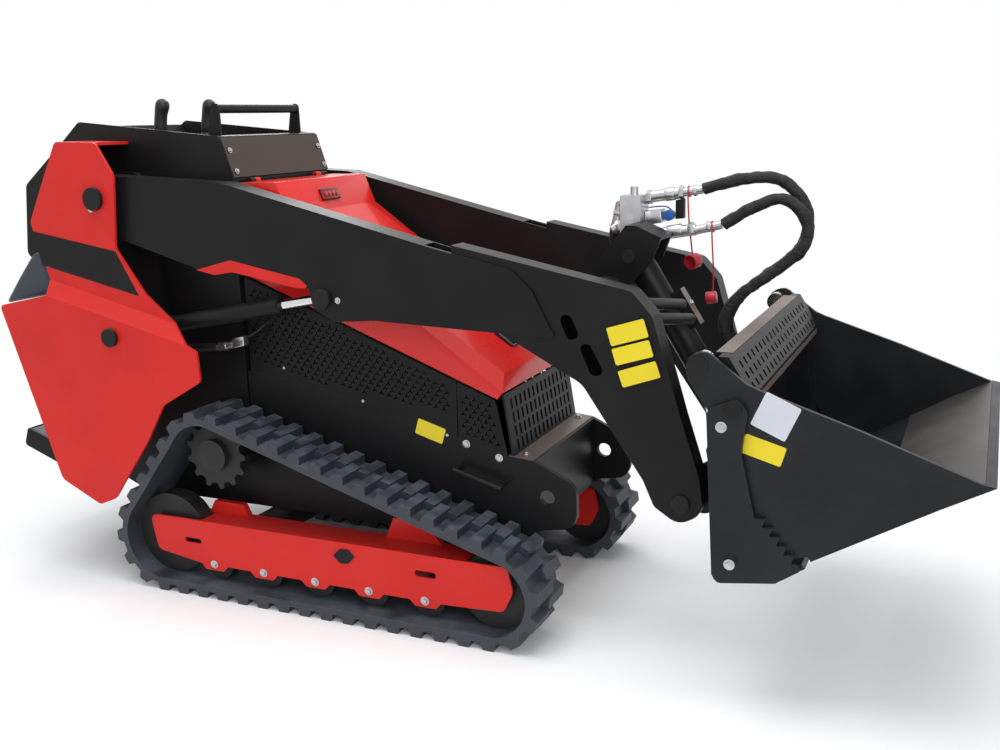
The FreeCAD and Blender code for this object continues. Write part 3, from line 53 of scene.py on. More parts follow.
# %% Camera
CAMERA_PLACE = Vector((1.44351, -2.88615, 1.37879))
CAMERA_YAW = math.radians(24.3)
CAMERA_PITCH = math.radians(13.0)
CAMERA_ROLL = math.radians(-1.26)
SENSOR_WIDTH_MM = 36
LENS_MM = 39.98


def camera_axes(yaw, pitch, roll):
    """The camera's right, up and backward directions."""
    forward = Vector((-math.sin(yaw) * math.cos(pitch), math.cos(yaw) * math.cos(pitch),
                      -math.sin(pitch)))
    level = Vector((math.cos(yaw), math.sin(yaw), 0))
    upright = level.cross(forward)
    right = level * math.cos(roll) + upright * math.sin(roll)
    up = -level * math.sin(roll) + upright * math.cos(roll)
    return right, up, -forward


camera_turn = Matrix(camera_axes(CAMERA_YAW, CAMERA_PITCH, CAMERA_ROLL)).transposed().to_4x4()
camera_data = bpy.data.cameras.new("camera")
camera_data.sensor_width = SENSOR_WIDTH_MM
camera_data.lens = LENS_MM
camera = bpy.data.objects.new("camera", camera_data)
camera.matrix_world = Matrix.Translation(CAMERA_PLACE) @ camera_turn
scene.collection.objects.link(camera)
scene.camera = camera
print("camera at", tuple(round(value, 3) for value in CAMERA_PLACE))

# %% [markdown]
# Such a machine is shown on plain white. A sky that is bright enough to look white would also
# bleach the paint. So the sky lights the machine softly, and it is pure white only for the
# rays that see it: those of the camera, and those mirrored by metal or passed on by glass.

# %% World
SKY_COLOUR = (0.95, 0.97, 1.0, 1)
SKY_STRENGTH = 0.75

scene.view_settings.view_transform = "Standard"


def white_where_seen(tree, lit, socket):
    """Plain white for camera, glossy and transmission rays, and the lit shader elsewhere."""
    path = tree.nodes.new("ShaderNodeLightPath")
    seen = path.outputs["Is Camera Ray"]
    for ray in ("Is Glossy Ray", "Is Transmission Ray"):
        either = tree.nodes.new("ShaderNodeMath")
        either.operation = "MAXIMUM"
        tree.links.new(seen, either.inputs[0])
        tree.links.new(path.outputs[ray], either.inputs[1])
        seen = either.outputs[0]
    white = tree.nodes.new("ShaderNodeBackground")
    white.inputs["Color"].default_value = (1, 1, 1, 1)
    white.inputs["Strength"].default_value = 1.0
    mix = tree.nodes.new("ShaderNodeMixShader")
    tree.links.new(seen, mix.inputs[0])
    tree.links.new(lit, mix.inputs[1])
    tree.links.new(white.outputs[0], mix.inputs[2])
    tree.links.new(mix.outputs[0], socket)


world = bpy.data.worlds.new("soft_sky")
world.use_nodes = True
scene.world = world
sky = world.node_tree.nodes["Background"]
sky.inputs["Color"].default_value = SKY_COLOUR
sky.inputs["Strength"].default_value = SKY_STRENGTH
sky_out = world.node_tree.nodes["World Output"].inputs["Surface"]
white_where_seen(world.node_tree, sky.outputs[0], sky_out)
print("sky strength:", SKY_STRENGTH)

# %% [markdown]
# The ground is one matt white plane that takes the machine's soft shadow. A plane that simply
# ends would show its rim against the sky, so it turns transparent with the distance from the
# middle, and no horizon shows.

# %% Floor
FLOOR_SIZE = 6
FLOOR_SOLID_RADIUS = 1.1
FLOOR_END_RADIUS = 2.3
FLOOR_WHITE = (0.97, 0.97, 0.97, 1)


def make_floor_paint():
    paint = bpy.data.materials.new("floor_white")
    paint.use_nodes = True
    tree = paint.node_tree
    matt = tree.nodes["Principled BSDF"]
    matt.inputs["Base Color"].default_value = FLOOR_WHITE
    matt.inputs["Roughness"].default_value = 1.0
    matt.inputs["Specular IOR Level"].default_value = 0.0
    place = tree.nodes.new("ShaderNodeTexCoord")
    from_middle = tree.nodes.new("ShaderNodeVectorMath")
    from_middle.operation = "LENGTH"
    tree.links.new(place.outputs["Object"], from_middle.inputs[0])
    fade = tree.nodes.new("ShaderNodeMapRange")
    fade.interpolation_type = "SMOOTHERSTEP"
    fade.inputs["From Min"].default_value = FLOOR_SOLID_RADIUS
    fade.inputs["From Max"].default_value = FLOOR_END_RADIUS
    tree.links.new(from_middle.outputs["Value"], fade.inputs["Value"])
    nothing = tree.nodes.new("ShaderNodeBsdfTransparent")
    mix = tree.nodes.new("ShaderNodeMixShader")
    tree.links.new(fade.outputs["Result"], mix.inputs[0])
    tree.links.new(matt.outputs[0], mix.inputs[1])
    tree.links.new(nothing.outputs[0], mix.inputs[2])
    tree.links.new(mix.outputs[0], tree.nodes["Material Output"].inputs["Surface"])
    return paint


bpy.ops.object.select_all(action="DESELECT")
bpy.ops.mesh.primitive_plane_add(size=FLOOR_SIZE, location=(0, 0, 0))
floor = bpy.context.object
floor.name = "floor"
floor.data.materials.append(make_floor_paint())
print("floor fades from", FLOOR_SOLID_RADIUS, "to", FLOOR_END_RADIUS)

# %% [markdown]
# Black paint shows its form only by what it mirrors, and a small lamp would leave it with a
# few hard dots. So the lamps are large and soft: one overhead lights the upper faces, one at
# the front right draws the long highlights on the arm, and a weak one behind gives the far
# edges a line of light.

# %% Lamps
LAMPS = (("overhead", (0.2, -0.6, 4.5), (0, 0, 0.6), 3.2, 120),
         ("front_right", (3.4, -4.2, 2.6), (0.1, 0, 0.7), 2.4, 80),
         ("rear_edge", (-2.8, 3.2, 3.2), (0, 0, 0.8), 2.0, 60))


def soft_lamp(name, place, target, size, power):
    """A square area lamp that points at a target."""
    lamp_data = bpy.data.lights.new(name, "AREA")
    lamp_data.shape = "SQUARE"
    lamp_data.size = size
    lamp_data.energy = power
    lamp = bpy.data.objects.new(name, lamp_data)
    lamp.location = place
    aim = (Vector(target) - Vector(place)).to_track_quat("-Z", "Y")
    lamp.rotation_euler = aim.to_euler()
    scene.collection.objects.link(lamp)


for lamp_values in LAMPS:
    soft_lamp(*lamp_values)
print("lamps:", len(LAMPS))

# %% [markdown]
# Paint on a working machine is never one flat colour. Four effects are shared by all
# finishes: slow mottling of the colour, fine grain that catches the light, rubbed edges, and
# dust on top, which in the bluish finishes of the tracks and the bucket is also a painted
# sheen of the sky. Pictures of scratches would need a UV map for every node, while noise on
# the object's own coordinates fits any mesh. A few short helpers for wiring such nodes come first.

# %% Helpers for node groups


def group_socket(tree, name, kind, direction="INPUT", value=None):
    """A named socket on a group's outside."""
    made = tree.interface.new_socket(name=name, in_out=direction, socket_type=kind)
    if value is not None:
        made.default_value = value


def math_node(tree, operation, first, second):
    """A calculation with two values, each a socket or a plain number."""
    node = tree.nodes.new("ShaderNodeMath")
    node.operation = operation
    for index, value in enumerate((first, second)):
        if isinstance(value, float):
            node.inputs[index].default_value = value
        else:
            tree.links.new(value, node.inputs[index])
    return node.outputs[0]


def blend_colour(tree, factor, first, second):
    """Two colours blended. A colour mix has its colours at inputs 6 and 7 and output 2."""
    node = tree.nodes.new("ShaderNodeMix")
    node.data_type = "RGBA"
    for index, value in ((0, factor), (6, first), (7, second)):
        tree.links.new(value, node.inputs[index])
    return node.outputs[2]


def stepped(tree, value, low, high):
    """0 below low, 1 above high and a smooth slope between."""
    node = tree.nodes.new("ShaderNodeMapRange")
    node.interpolation_type = "SMOOTHSTEP"
    tree.links.new(value, node.inputs["Value"])
    node.inputs["From Min"].default_value = low
    node.inputs["From Max"].default_value = high
    return node.outputs["Result"]


def noise(tree, place, scale, detail):
    """Noise on a place, its scale taken from a socket."""
    node = tree.nodes.new("ShaderNodeTexNoise")
    node.inputs["Detail"].default_value = detail
    tree.links.new(place, node.inputs["Vector"])
    tree.links.new(scale, node.inputs["Scale"])
    return node.outputs["Fac"]


# %% [markdown]
# The two masks say where paint is rubbed off and where dust lies. Edges are found from two
# normals, the true one and one that is rounded off over two millimetres, which part only near
# an edge. Dust lies on faces that look up. Where a finish gives it a bluish colour, as on the
# tracks and the bucket, it is also a painted sheen of the sky on those upper faces. Both are
# broken by the slow noise, because even wear looks like a drawn outline.

# %% Masks for wear, dust and painted sheen
EDGE_RADIUS = 0.002
DUST_ROUGHENS = 0.4


def edge_wear(tree, normal, mottle):
    """1 on rubbed edges."""
    rounded = tree.nodes.new("ShaderNodeBevel")
    rounded.samples = 4
    rounded.inputs["Radius"].default_value = EDGE_RADIUS
    parting = tree.nodes.new("ShaderNodeVectorMath")
    parting.operation = "DOT_PRODUCT"
    tree.links.new(rounded.outputs[0], parting.inputs[0])
    tree.links.new(normal, parting.inputs[1])
    near_edge = stepped(tree, math_node(tree, "SUBTRACT", 1.0, parting.outputs["Value"]),
                        0.02, 0.28)
    return math_node(tree, "MULTIPLY", near_edge, stepped(tree, mottle, 0.35, 0.6))


def dust_and_sheen_on_top(tree, normal, mottle):
    """1 on faces that look up: dust, and in bluish finishes a painted sheen of the sky."""
    parts = tree.nodes.new("ShaderNodeSeparateXYZ")
    tree.links.new(normal, parts.inputs[0])
    level = stepped(tree, parts.outputs["Z"], 0.3, 1.0)
    return math_node(tree, "MULTIPLY", level, stepped(tree, mottle, 0.3, 0.75))


# %% [markdown]
# The effects are put together once, in a node group with named sockets. Every material could
# hold its own copy of the nodes, but then each change would have to be made over and over. The
# group gives out only a colour, a roughness and a height, and the shader stays outside.

# %% Group: finish
FINISH_INPUTS = (("Colour", (0.1, 0.1, 0.1, 1)), ("Second Colour", (0.1, 0.1, 0.1, 1)),
                 ("Edge Colour", (0.3, 0.3, 0.3, 1)), ("Dust And Sheen Colour", (0.25, 0.22, 0.19, 1)),
                 ("Mottle Scale", 6.0), ("Grain Scale", 400.0), ("Edge Wear", 0.5),
                 ("Dust And Sheen", 0.2), ("Roughness", 0.4), ("Roughness Spread", 0.1))


def make_finish_group():
    tree = bpy.data.node_groups.new("finish", "ShaderNodeTree")
    for name, value in FINISH_INPUTS:
        kind = "NodeSocketColor" if isinstance(value, tuple) else "NodeSocketFloat"
        group_socket(tree, name, kind, value=value)
    group_socket(tree, "Colour", "NodeSocketColor", "OUTPUT")
    group_socket(tree, "Roughness", "NodeSocketFloat", "OUTPUT")
    group_socket(tree, "Height", "NodeSocketFloat", "OUTPUT")
    enter = tree.nodes.new("NodeGroupInput").outputs
    leave = tree.nodes.new("NodeGroupOutput").inputs
    place = tree.nodes.new("ShaderNodeTexCoord").outputs["Object"]
    normal = tree.nodes.new("ShaderNodeNewGeometry").outputs["Normal"]
    mottle = noise(tree, place, enter["Mottle Scale"], 4)
    grain = noise(tree, place, enter["Grain Scale"], 2)
    worn = math_node(tree, "MULTIPLY", edge_wear(tree, normal, mottle), enter["Edge Wear"])
    # Faces that look up: dust, and where the dust colour is bluish, a painted sheen of the sky.
    dust_and_sheen_mask = math_node(tree, "MULTIPLY", dust_and_sheen_on_top(tree, normal, mottle), enter["Dust And Sheen"])

    base = blend_colour(tree, stepped(tree, mottle, 0.3, 0.7), enter["Colour"],
                        enter["Second Colour"])
    with_dust_and_sheen = blend_colour(tree, dust_and_sheen_mask, base, enter["Dust And Sheen Colour"])
    tree.links.new(blend_colour(tree, worn, with_dust_and_sheen, enter["Edge Colour"]), leave["Colour"])
    spread = math_node(tree, "MULTIPLY", math_node(tree, "SUBTRACT", mottle, 0.5),
                       enter["Roughness Spread"])
    rough = math_node(tree, "ADD", enter["Roughness"], spread)
    from_dust = math_node(tree, "MULTIPLY", dust_and_sheen_mask, DUST_ROUGHENS)
    tree.links.new(math_node(tree, "ADD", rough, from_dust), leave["Roughness"])
    tree.links.new(grain, leave["Height"])
    return tree


finish_group = make_finish_group()
print("group sockets:", len(finish_group.interface.items_tree))

# %% [markdown]
# A finish is one material: the shared group with this finish's own values, and one Principled
# shader. Its three colours are the paint, its slow mottling and what shows on rubbed edges.

# %% A finish
GRAIN_HEIGHT = 0.001


def finish(name, colour, second, edge, roughness, spread=0.08, metallic=0.0, coat=0.0,
           coat_rough=0.1, wear=0.3, dust_and_sheen=0.05, mottle=6.0, grain=400.0, bump=0.05,
           specular=0.5, dust_and_sheen_colour=(0.3, 0.27, 0.24)):
    """A material of the shared finish group, with this object's own values."""
    material = bpy.data.materials.new(name)
    material.use_nodes = True
    tree = material.node_tree
    shader = tree.nodes["Principled BSDF"]
    group = tree.nodes.new("ShaderNodeGroup")
    group.node_tree = finish_group
    for socket, value in (("Colour", colour), ("Second Colour", second),
                          ("Edge Colour", edge), ("Dust And Sheen Colour", dust_and_sheen_colour)):
        group.inputs[socket].default_value = (*value, 1)
    for socket, value in (("Mottle Scale", mottle), ("Grain Scale", grain),
                          ("Edge Wear", wear), ("Dust And Sheen", dust_and_sheen),
                          ("Roughness", roughness), ("Roughness Spread", spread)):
        group.inputs[socket].default_value = value
    lift = tree.nodes.new("ShaderNodeBump")
    lift.inputs["Strength"].default_value = bump
    lift.inputs["Distance"].default_value = GRAIN_HEIGHT
    tree.links.new(group.outputs["Colour"], shader.inputs["Base Color"])
    tree.links.new(group.outputs["Roughness"], shader.inputs["Roughness"])
    tree.links.new(group.outputs["Height"], lift.inputs["Height"])
    tree.links.new(lift.outputs[0], shader.inputs["Normal"])
    shader.inputs["Metallic"].default_value = metallic
    shader.inputs["Coat Weight"].default_value = coat
    shader.inputs["Coat Roughness"].default_value = coat_rough
    shader.inputs["Specular IOR Level"].default_value = specular
    return material


# %% [markdown]
# Most of the real machine is powder coated. The hood is glossy red, the towers and track
# frames are a flatter red, and the rest is black: satin on the arms and the tub, rougher on
# pins and beams, and scuffed on the bucket, whose bluish colour on upper faces is partly dust
# and partly a painted sheen of the sky. The black is far darker than it looks, because the
# white surroundings lie over it as a pale veil. A low specular level keeps that veil thin.

# %% Paints
red_gloss = finish("red_gloss", (0.66, 0.016, 0.012), (0.60, 0.012, 0.010), (0.80, 0.10, 0.07),
                   0.28, coat=0.3, coat_rough=0.06, wear=0.2, bump=0.03, grain=250,
                   specular=0.22)
red_flat = finish("red_flat", (0.64, 0.020, 0.014), (0.58, 0.016, 0.012), (0.75, 0.12, 0.09),
                  0.40, coat=0.08, coat_rough=0.2, wear=0.3, bump=0.04, grain=300,
                  specular=0.2)
black_satin = finish("black_satin", (0.0065, 0.0065, 0.0072), (0.0085, 0.0085, 0.0092),
                     (0.07, 0.075, 0.08), 0.40, wear=0.35, bump=0.06, grain=450,
                     specular=0.16)
black_rough = finish("black_rough", (0.007, 0.007, 0.0075), (0.011, 0.011, 0.011),
                     (0.08, 0.08, 0.08), 0.55, wear=0.4, dust_and_sheen=0.12, bump=0.12, grain=300,
                     mottle=9, specular=0.2)
# The bluish dust colour on the upper faces is partly dust and partly a painted sky sheen.
black_worn = finish("black_worn", (0.008, 0.0085, 0.0095), (0.013, 0.014, 0.016),
                    (0.10, 0.11, 0.12), 0.34, wear=0.4, dust_and_sheen=0.25, bump=0.08, grain=350,
                    mottle=7, specular=0.22, dust_and_sheen_colour=(0.035, 0.040, 0.050))
print("paints:", red_gloss.name, red_flat.name, black_satin.name, black_rough.name,
      black_worn.name)

# %% [markdown]
# Rubber and vinyl are soft to the eye because their grain is coarse and their highlights are
# dull. The tracks carry dry dust on their upper faces, and its grey-blue colour there is also a
# painted sheen of the sky. The sleeves over the hoses are woven, so their height comes from a
# distorted noise that lays folds over them in place of the grain.

# %% Rubber, vinyl and weave
WRINKLE_SCALE = 55
WRINKLE_HEIGHT = 0.005

# The grey-blue dust colour on the upper faces is partly dust and partly a painted sky sheen.
track_rubber = finish("track_rubber", (0.022, 0.027, 0.035), (0.030, 0.036, 0.046),
                      (0.13, 0.155, 0.19), 0.55, wear=0.8, dust_and_sheen=0.55, bump=0.25, grain=240,
                      mottle=14, dust_and_sheen_colour=(0.10, 0.125, 0.16))
soft_rubber = finish("soft_rubber", (0.008, 0.008, 0.010), (0.011, 0.011, 0.013),
                     (0.04, 0.04, 0.045), 0.50, wear=0.3, bump=0.12, grain=500,
                     specular=0.4)
pad_vinyl = finish("pad_vinyl", (0.020, 0.030, 0.045), (0.026, 0.036, 0.052),
                   (0.05, 0.06, 0.08), 0.5, bump=0.2, grain=350)


def make_weave():
    """The finish of a woven sleeve, creased along its length."""
    material = finish("woven_sleeve", (0.009, 0.009, 0.010), (0.014, 0.014, 0.016),
                      (0.05, 0.05, 0.05), 0.7, wear=0.2, mottle=25, specular=0.35)
    tree = material.node_tree
    lift = next(node for node in tree.nodes if node.type == "BUMP")
    place = tree.nodes.new("ShaderNodeTexCoord")
    wrinkle = tree.nodes.new("ShaderNodeTexNoise")
    wrinkle.inputs["Scale"].default_value = WRINKLE_SCALE
    wrinkle.inputs["Detail"].default_value = 3
    wrinkle.inputs["Distortion"].default_value = 1.5
    tree.links.new(place.outputs["Object"], wrinkle.inputs["Vector"])
    tree.links.new(wrinkle.outputs["Fac"], lift.inputs["Height"])
    lift.inputs["Strength"].default_value = 0.9
    lift.inputs["Distance"].default_value = WRINKLE_HEIGHT
    return material


woven_sleeve = make_weave()
print("rubber:", track_rubber.name, soft_rubber.name, pad_vinyl.name, woven_sleeve.name)

# %% [markdown]
# Bare metal tells how a part is made. Cylinder rods are hard chrome, couplers and screws are
# zinc plated with a blotchy sheen, sprockets and motors are cast iron. The dash plate is a
# dull bronze, the cover sheets are tan, and the bucket's cutting edge is worn to steel.

# %% Metals
chrome = finish("chrome", (0.72, 0.73, 0.75), (0.66, 0.67, 0.69), (0.8, 0.8, 0.8), 0.12,
                spread=0.05, metallic=1.0, wear=0.2, dust_and_sheen=0.02, bump=0.02, grain=900)
zinc = finish("zinc", (0.55, 0.55, 0.56), (0.45, 0.45, 0.46), (0.75, 0.75, 0.75), 0.30,
              spread=0.2, metallic=0.95, wear=0.4, bump=0.08, grain=700, mottle=30)
cast_iron = finish("cast_iron", (0.012, 0.012, 0.013), (0.020, 0.020, 0.020),
                   (0.10, 0.10, 0.10), 0.55, metallic=0.3, wear=0.4, dust_and_sheen=0.1, bump=0.3,
                   grain=260, mottle=12)
bronze_dull = finish("bronze_dull", (0.050, 0.034, 0.027), (0.060, 0.041, 0.033),
                     (0.25, 0.20, 0.17), 0.42, metallic=0.2, wear=0.4, bump=0.06, grain=600,
                     specular=0.3)
plate_tan = finish("plate_tan", (0.17, 0.13, 0.11), (0.13, 0.10, 0.085), (0.3, 0.26, 0.22),
                   0.42, metallic=0.4, wear=0.3, bump=0.06, grain=400)
edge_steel = finish("edge_steel", (0.075, 0.070, 0.066), (0.045, 0.043, 0.042),
                    (0.2, 0.19, 0.18), 0.38, metallic=0.5, spread=0.2, wear=0.3, dust_and_sheen=0.2,
                    bump=0.1, grain=200, mottle=5)
print("metals:", chrome.name, zinc.name, cast_iron.name, bronze_dull.name, plate_tan.name,
      edge_steel.name)

# %% [markdown]
# A few small parts bring the only other colours: the labels, the caps, the lens of the lamp
# and the glassy black of the latch. They are smooth and nearly new, so their wear is low.

# %% Small coloured parts
label_yellow = finish("label_yellow", (0.78, 0.62, 0.010), (0.74, 0.58, 0.010),
                      (0.5, 0.4, 0.05), 0.35, wear=0.1, bump=0.02, grain=300)
label_white = finish("label_white", (0.62, 0.64, 0.70), (0.57, 0.59, 0.65), (0.4, 0.4, 0.45),
                     0.4, wear=0.1, bump=0.02, grain=300)
cap_red = finish("cap_red", (0.45, 0.012, 0.030), (0.38, 0.010, 0.026), (0.6, 0.1, 0.1), 0.35,
                 wear=0.1, bump=0.05, grain=300)
cap_blue = finish("cap_blue", (0.012, 0.10, 0.42), (0.010, 0.08, 0.36), (0.1, 0.2, 0.5), 0.35,
                  wear=0.1, bump=0.05, grain=300)
lens_red = finish("lens_red", (0.17, 0.004, 0.006), (0.13, 0.003, 0.005), (0.3, 0.02, 0.02),
                  0.20, coat=0.3, coat_rough=0.03, wear=0.1, bump=0.02, grain=200,
                  specular=0.3)
lens_bright = finish("lens_bright", (0.55, 0.03, 0.03), (0.45, 0.02, 0.02), (0.6, 0.1, 0.1),
                     0.2, wear=0.1, bump=0.02, grain=200)
black_glass = finish("black_glass", (0.004, 0.004, 0.005), (0.006, 0.006, 0.007),
                     (0.05, 0.05, 0.05), 0.12, coat=0.6, coat_rough=0.05, wear=0.1,
                     bump=0.02, grain=200)
print("small parts:", label_yellow.name, label_white.name, cap_red.name, cap_blue.name,
      lens_red.name, lens_bright.name, black_glass.name)

# %% [markdown]
# The CAD nodes arrive bare, and each takes one finish. Most of the machine is satin black, so
# that is what a node gets unless it is listed here. The nodes for which a new piece stands
# further on aren't listed, as their piece brings its own finish.

# %% Give each node its finish
NODES_OF = (
    (red_flat, ("tower_left", "tower_right", "track_frame_left", "track_frame_right")),
    (black_rough, ("tower_pins", "arm_pins", "bucket_pins", "jaw_pins", "axle_beams")),
    (black_worn, ("jaw", "moldboard")),
    (track_rubber, ("track_left", "track_right")),
    (pad_vinyl, ("platform_tread",)),
    (chrome, ("lift_rods", "tilt_rod", "clam_rods")),
    (zinc, ("line_fittings",)),
    (cast_iron, ("engine", "drive_motors", "sprocket_left", "sprocket_right",
                 "track_wheels_left", "track_wheels_right")),
    (bronze_dull, ("dash_plate",)),
)
FINISH_OF = {node: material for material, names in NODES_OF for node in names}


def dress(node, material):
    """Put a material in every slot of a CAD node, or in a first one."""
    data = nodes[node].data
    if not data.materials:
        data.materials.append(material)
    for index in range(len(data.materials)):
        data.materials[index] = material


for node in nodes:
    dress(node, FINISH_OF.get(node, black_satin))
print("dressed", len(nodes), "nodes,", len(FINISH_OF), "of them not satin black")

# %% [markdown]
# Two hoses leave the couplers between the arms, rise in a bow and come down together to the
# bucket's coupler plate. A third, short one comes out of the far arm. Pipes could be bent
# piece by piece, but a curve keeps one smooth line whose length can be read. Its control
# points are the corners of the route, and it touches every leg between them.

# %% Hoses
MID_X = 0.2549
HOSE_TAIL = ((1.132, 0.948), (1.052, 0.885), (1.022, 0.800), (1.092, 0.722), (1.092, 0.6253))
HOSE_UPPER = ((0.960, 1.1805), (1.106, 1.226), (1.204, 1.190), (1.248, 1.104), (1.222, 1.014))
HOSE_LOWER = ((1.025, 1.091), (1.143, 1.165), (1.210, 1.152), (1.249, 1.096), (1.240, 1.028))
FEED = ((0.710, 0.120, 1.078), (0.701, 0.120, 1.035), (0.703, 0.165, 1.000),
        (0.706, 0.240, 0.985), (0.706, 0.2947, 0.985))
HOSE_RADIUS = 0.0135
FEED_RADIUS = 0.015


def round_cord(name, places, radius, rim, steps):
    """A closed round cord along control points: rim steps round it, steps from one to the next."""
    line = bpy.data.curves.new(name, "CURVE")
    line.dimensions = "3D"
    line.bevel_depth = radius
    line.bevel_resolution = rim
    line.resolution_u = steps
    line.use_fill_caps = True
    spline = line.splines.new("NURBS")
    spline.points.add(len(places) - 1)
    for control, place in zip(spline.points, places):
        control.co = (*place, 1)
    spline.order_u = 3
    spline.use_endpoint_u = True
    cord = bpy.data.objects.new(name, line)
    scene.collection.objects.link(cord)
    return cord


def make_hose(name, route, radius):
    """A hose along a route in metres from the machine's datum, and its length."""
    hose = round_cord(name, [(x - MID_X, y, z) for x, y, z in route], radius, 6, 16)
    hose.data.materials.append(woven_sleeve)
    length = hose.data.splines[0].calc_length()
    print(name, "is", round(length, 4), "m long")
    return hose, length


# %% [markdown]
# The real hoses wear a loose woven sleeve with uneven folds. Bump alone would leave its
# outline straight, so the sleeve is a second, wider tube round the hose's own curve, turned
# to a mesh and pushed in and out by clouds of noise.

# %% Sleeves, and the hoses in their places
SLEEVE_RADIUS = 0.0165
CREASE_DEPTH = 0.009
CREASE_SIZE = 0.035


def make_sleeve(name, hose):
    """Loose woven tube round a hose: its curve made thicker, turned to a mesh and creased."""
    bpy.ops.object.select_all(action="DESELECT")
    line = hose.data.copy()
    line.bevel_depth = SLEEVE_RADIUS
    line.resolution_u = 24
    sleeve = bpy.data.objects.new(name, line)
    scene.collection.objects.link(sleeve)
    sleeve.select_set(True)
    bpy.context.view_layer.objects.active = sleeve
    bpy.ops.object.convert(target="MESH")
    creases = bpy.data.textures.new(name + "_creases", "CLOUDS")
    creases.noise_scale = CREASE_SIZE
    crease = sleeve.modifiers.new("creases", "DISPLACE")
    crease.texture = creases
    crease.strength = CREASE_DEPTH
    crease.mid_level = 0.55
    bpy.ops.object.modifier_apply(modifier=crease.name)
    bpy.ops.object.shade_smooth()
    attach(sleeve, "lift_arm")
    return sleeve


for node, route, y in (("hose_upper", HOSE_UPPER, 0.120), ("hose_lower", HOSE_LOWER, 0.080)):
    points = [(x, y, z) for x, z in route + HOSE_TAIL]
    hose, length = make_hose(node + "_line", points, HOSE_RADIUS)
    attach(hose, "lift_arm")
    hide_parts(node)
    sleeve = make_sleeve(node + "_sleeve", hose)
    x, y, z = points[0]
feed, feed_length = make_hose("feed_line", FEED, FEED_RADIUS)
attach(feed, "lift_arm")
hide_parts("feed_hose")

# %% [markdown]
# Most of the new pieces are made in the same few ways: a shape drawn in side view and
# extruded across the machine, a round bar between two points, or a bolt head copied to its
# places. The helpers do by code what the hand does in edit mode. Every piece ends with its
# origin in the machine's own and its place in its mesh, so that a pattern on it stays put.

# %% Helpers: place, select and ease


def spot(x, y, z):
    """Millimetres from the machine's datum, as a place in the scene."""
    return Vector((x / 1000 - MID_X, y / 1000, z / 1000))


def only(piece):
    """Select one piece and make it active."""
    bpy.ops.object.select_all(action="DESELECT")
    piece.select_set(True)
    bpy.context.view_layer.objects.active = piece


def apply_place(piece):
    """Move a piece's place, turn and size into its mesh."""
    only(piece)
    bpy.ops.object.transform_apply(location=True, rotation=True, scale=True)


def ease(piece, width, segments=2, angle=30):
    """Round the edges of a piece that are sharper than an angle."""
    only(piece)
    bevel = piece.modifiers.new("ease", "BEVEL")
    bevel.width = width
    bevel.segments = segments
    bevel.limit_method = "ANGLE"
    bevel.angle_limit = math.radians(angle)
    bpy.ops.object.modifier_apply(modifier=bevel.name)


def face_outwards(piece):
    """Turn all faces of a closed piece outwards."""
    only(piece)
    bpy.ops.object.mode_set(mode="EDIT")
    bpy.ops.mesh.select_all(action="SELECT")
    bpy.ops.mesh.normals_make_consistent(inside=False)
    bpy.ops.object.mode_set(mode="OBJECT")


# %% [markdown]
# Two of the helpers make the raw shapes. A profile starts as one point that is extruded from
# corner to corner, closed with a face and pulled across the machine. A rod is a cylinder
# whose rims are eased at once, because no turned part has a sharp rim.

# %% Helpers: profile and rod


def profile(name, points, low, high, easing=0.0, segments=2):
    """A shape drawn point by point in side view and extruded across the machine."""
    places = [spot(x, low, z) for x, z in points]
    bpy.ops.object.select_all(action="DESELECT")
    bpy.ops.mesh.primitive_plane_add(size=0.01, location=places[0])
    piece = bpy.context.object
    piece.name = name
    apply_place(piece)
    bpy.ops.object.mode_set(mode="EDIT")
    bpy.ops.mesh.select_mode(type="VERT")
    bpy.ops.mesh.select_all(action="SELECT")
    bpy.ops.mesh.merge(type="CENTER")
    for last, place in zip(places, places[1:]):
        bpy.ops.mesh.extrude_region_move(TRANSFORM_OT_translate={"value": place - last})
    bpy.ops.mesh.select_all(action="SELECT")
    bpy.ops.mesh.edge_face_add()
    across = (0, (high - low) / 1000, 0)
    bpy.ops.mesh.extrude_region_move(TRANSFORM_OT_translate={"value": across})
    bpy.ops.object.mode_set(mode="OBJECT")
    face_outwards(piece)
    if easing:
        ease(piece, easing, segments)
    return piece


def rod(name, start, end, radius, sides=20, easing=0.001):
    """A round bar between two places, its radius in millimetres, its rims eased."""
    start, end = Vector(start), Vector(end)
    turn = (end - start).to_track_quat("Z", "Y").to_euler()
    bpy.ops.object.select_all(action="DESELECT")
    bpy.ops.mesh.primitive_cylinder_add(vertices=sides, radius=radius / 1000,
                                        depth=(end - start).length,
                                        location=(start + end) / 2, rotation=turn)
    piece = bpy.context.object
    piece.name = name
    apply_place(piece)
    ease(piece, easing, 2, 60)
    return piece


# %% [markdown]
# Pieces that share a body and a finish are joined, so that the model stays easy to read. What
# repeats is modelled once, and each copy gets a mesh of its own.

# %% Helpers: gather, settle and copy


def gather(name, pieces):
    """Join pieces of one body and one finish."""
    bpy.ops.object.select_all(action="DESELECT")
    for piece in pieces:
        piece.select_set(True)
    bpy.context.view_layer.objects.active = pieces[0]
    if len(pieces) > 1:
        bpy.ops.object.join()
    pieces[0].name = name
    return pieces[0]


def settle(piece, body, material, smooth=35):
    """Give a finished piece its shading, its finish and its body."""
    only(piece)
    bpy.ops.object.shade_smooth_by_angle(angle=math.radians(smooth))
    piece.data.materials.clear()
    piece.data.materials.append(material)
    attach(piece, body)
    print(piece.name, "rides", body, "with", len(piece.data.polygons), "faces")
    return piece


def placed_copy(pattern, name, place, direction):
    """A copy with its own mesh, its Z axis turned to a direction."""
    copy = bpy.data.objects.new(name, pattern.data.copy())
    scene.collection.objects.link(copy)
    turn = Vector(direction).to_track_quat("Z", "Y").to_matrix().to_4x4()
    copy.data.transform(Matrix.Translation(place) @ turn)
    return copy


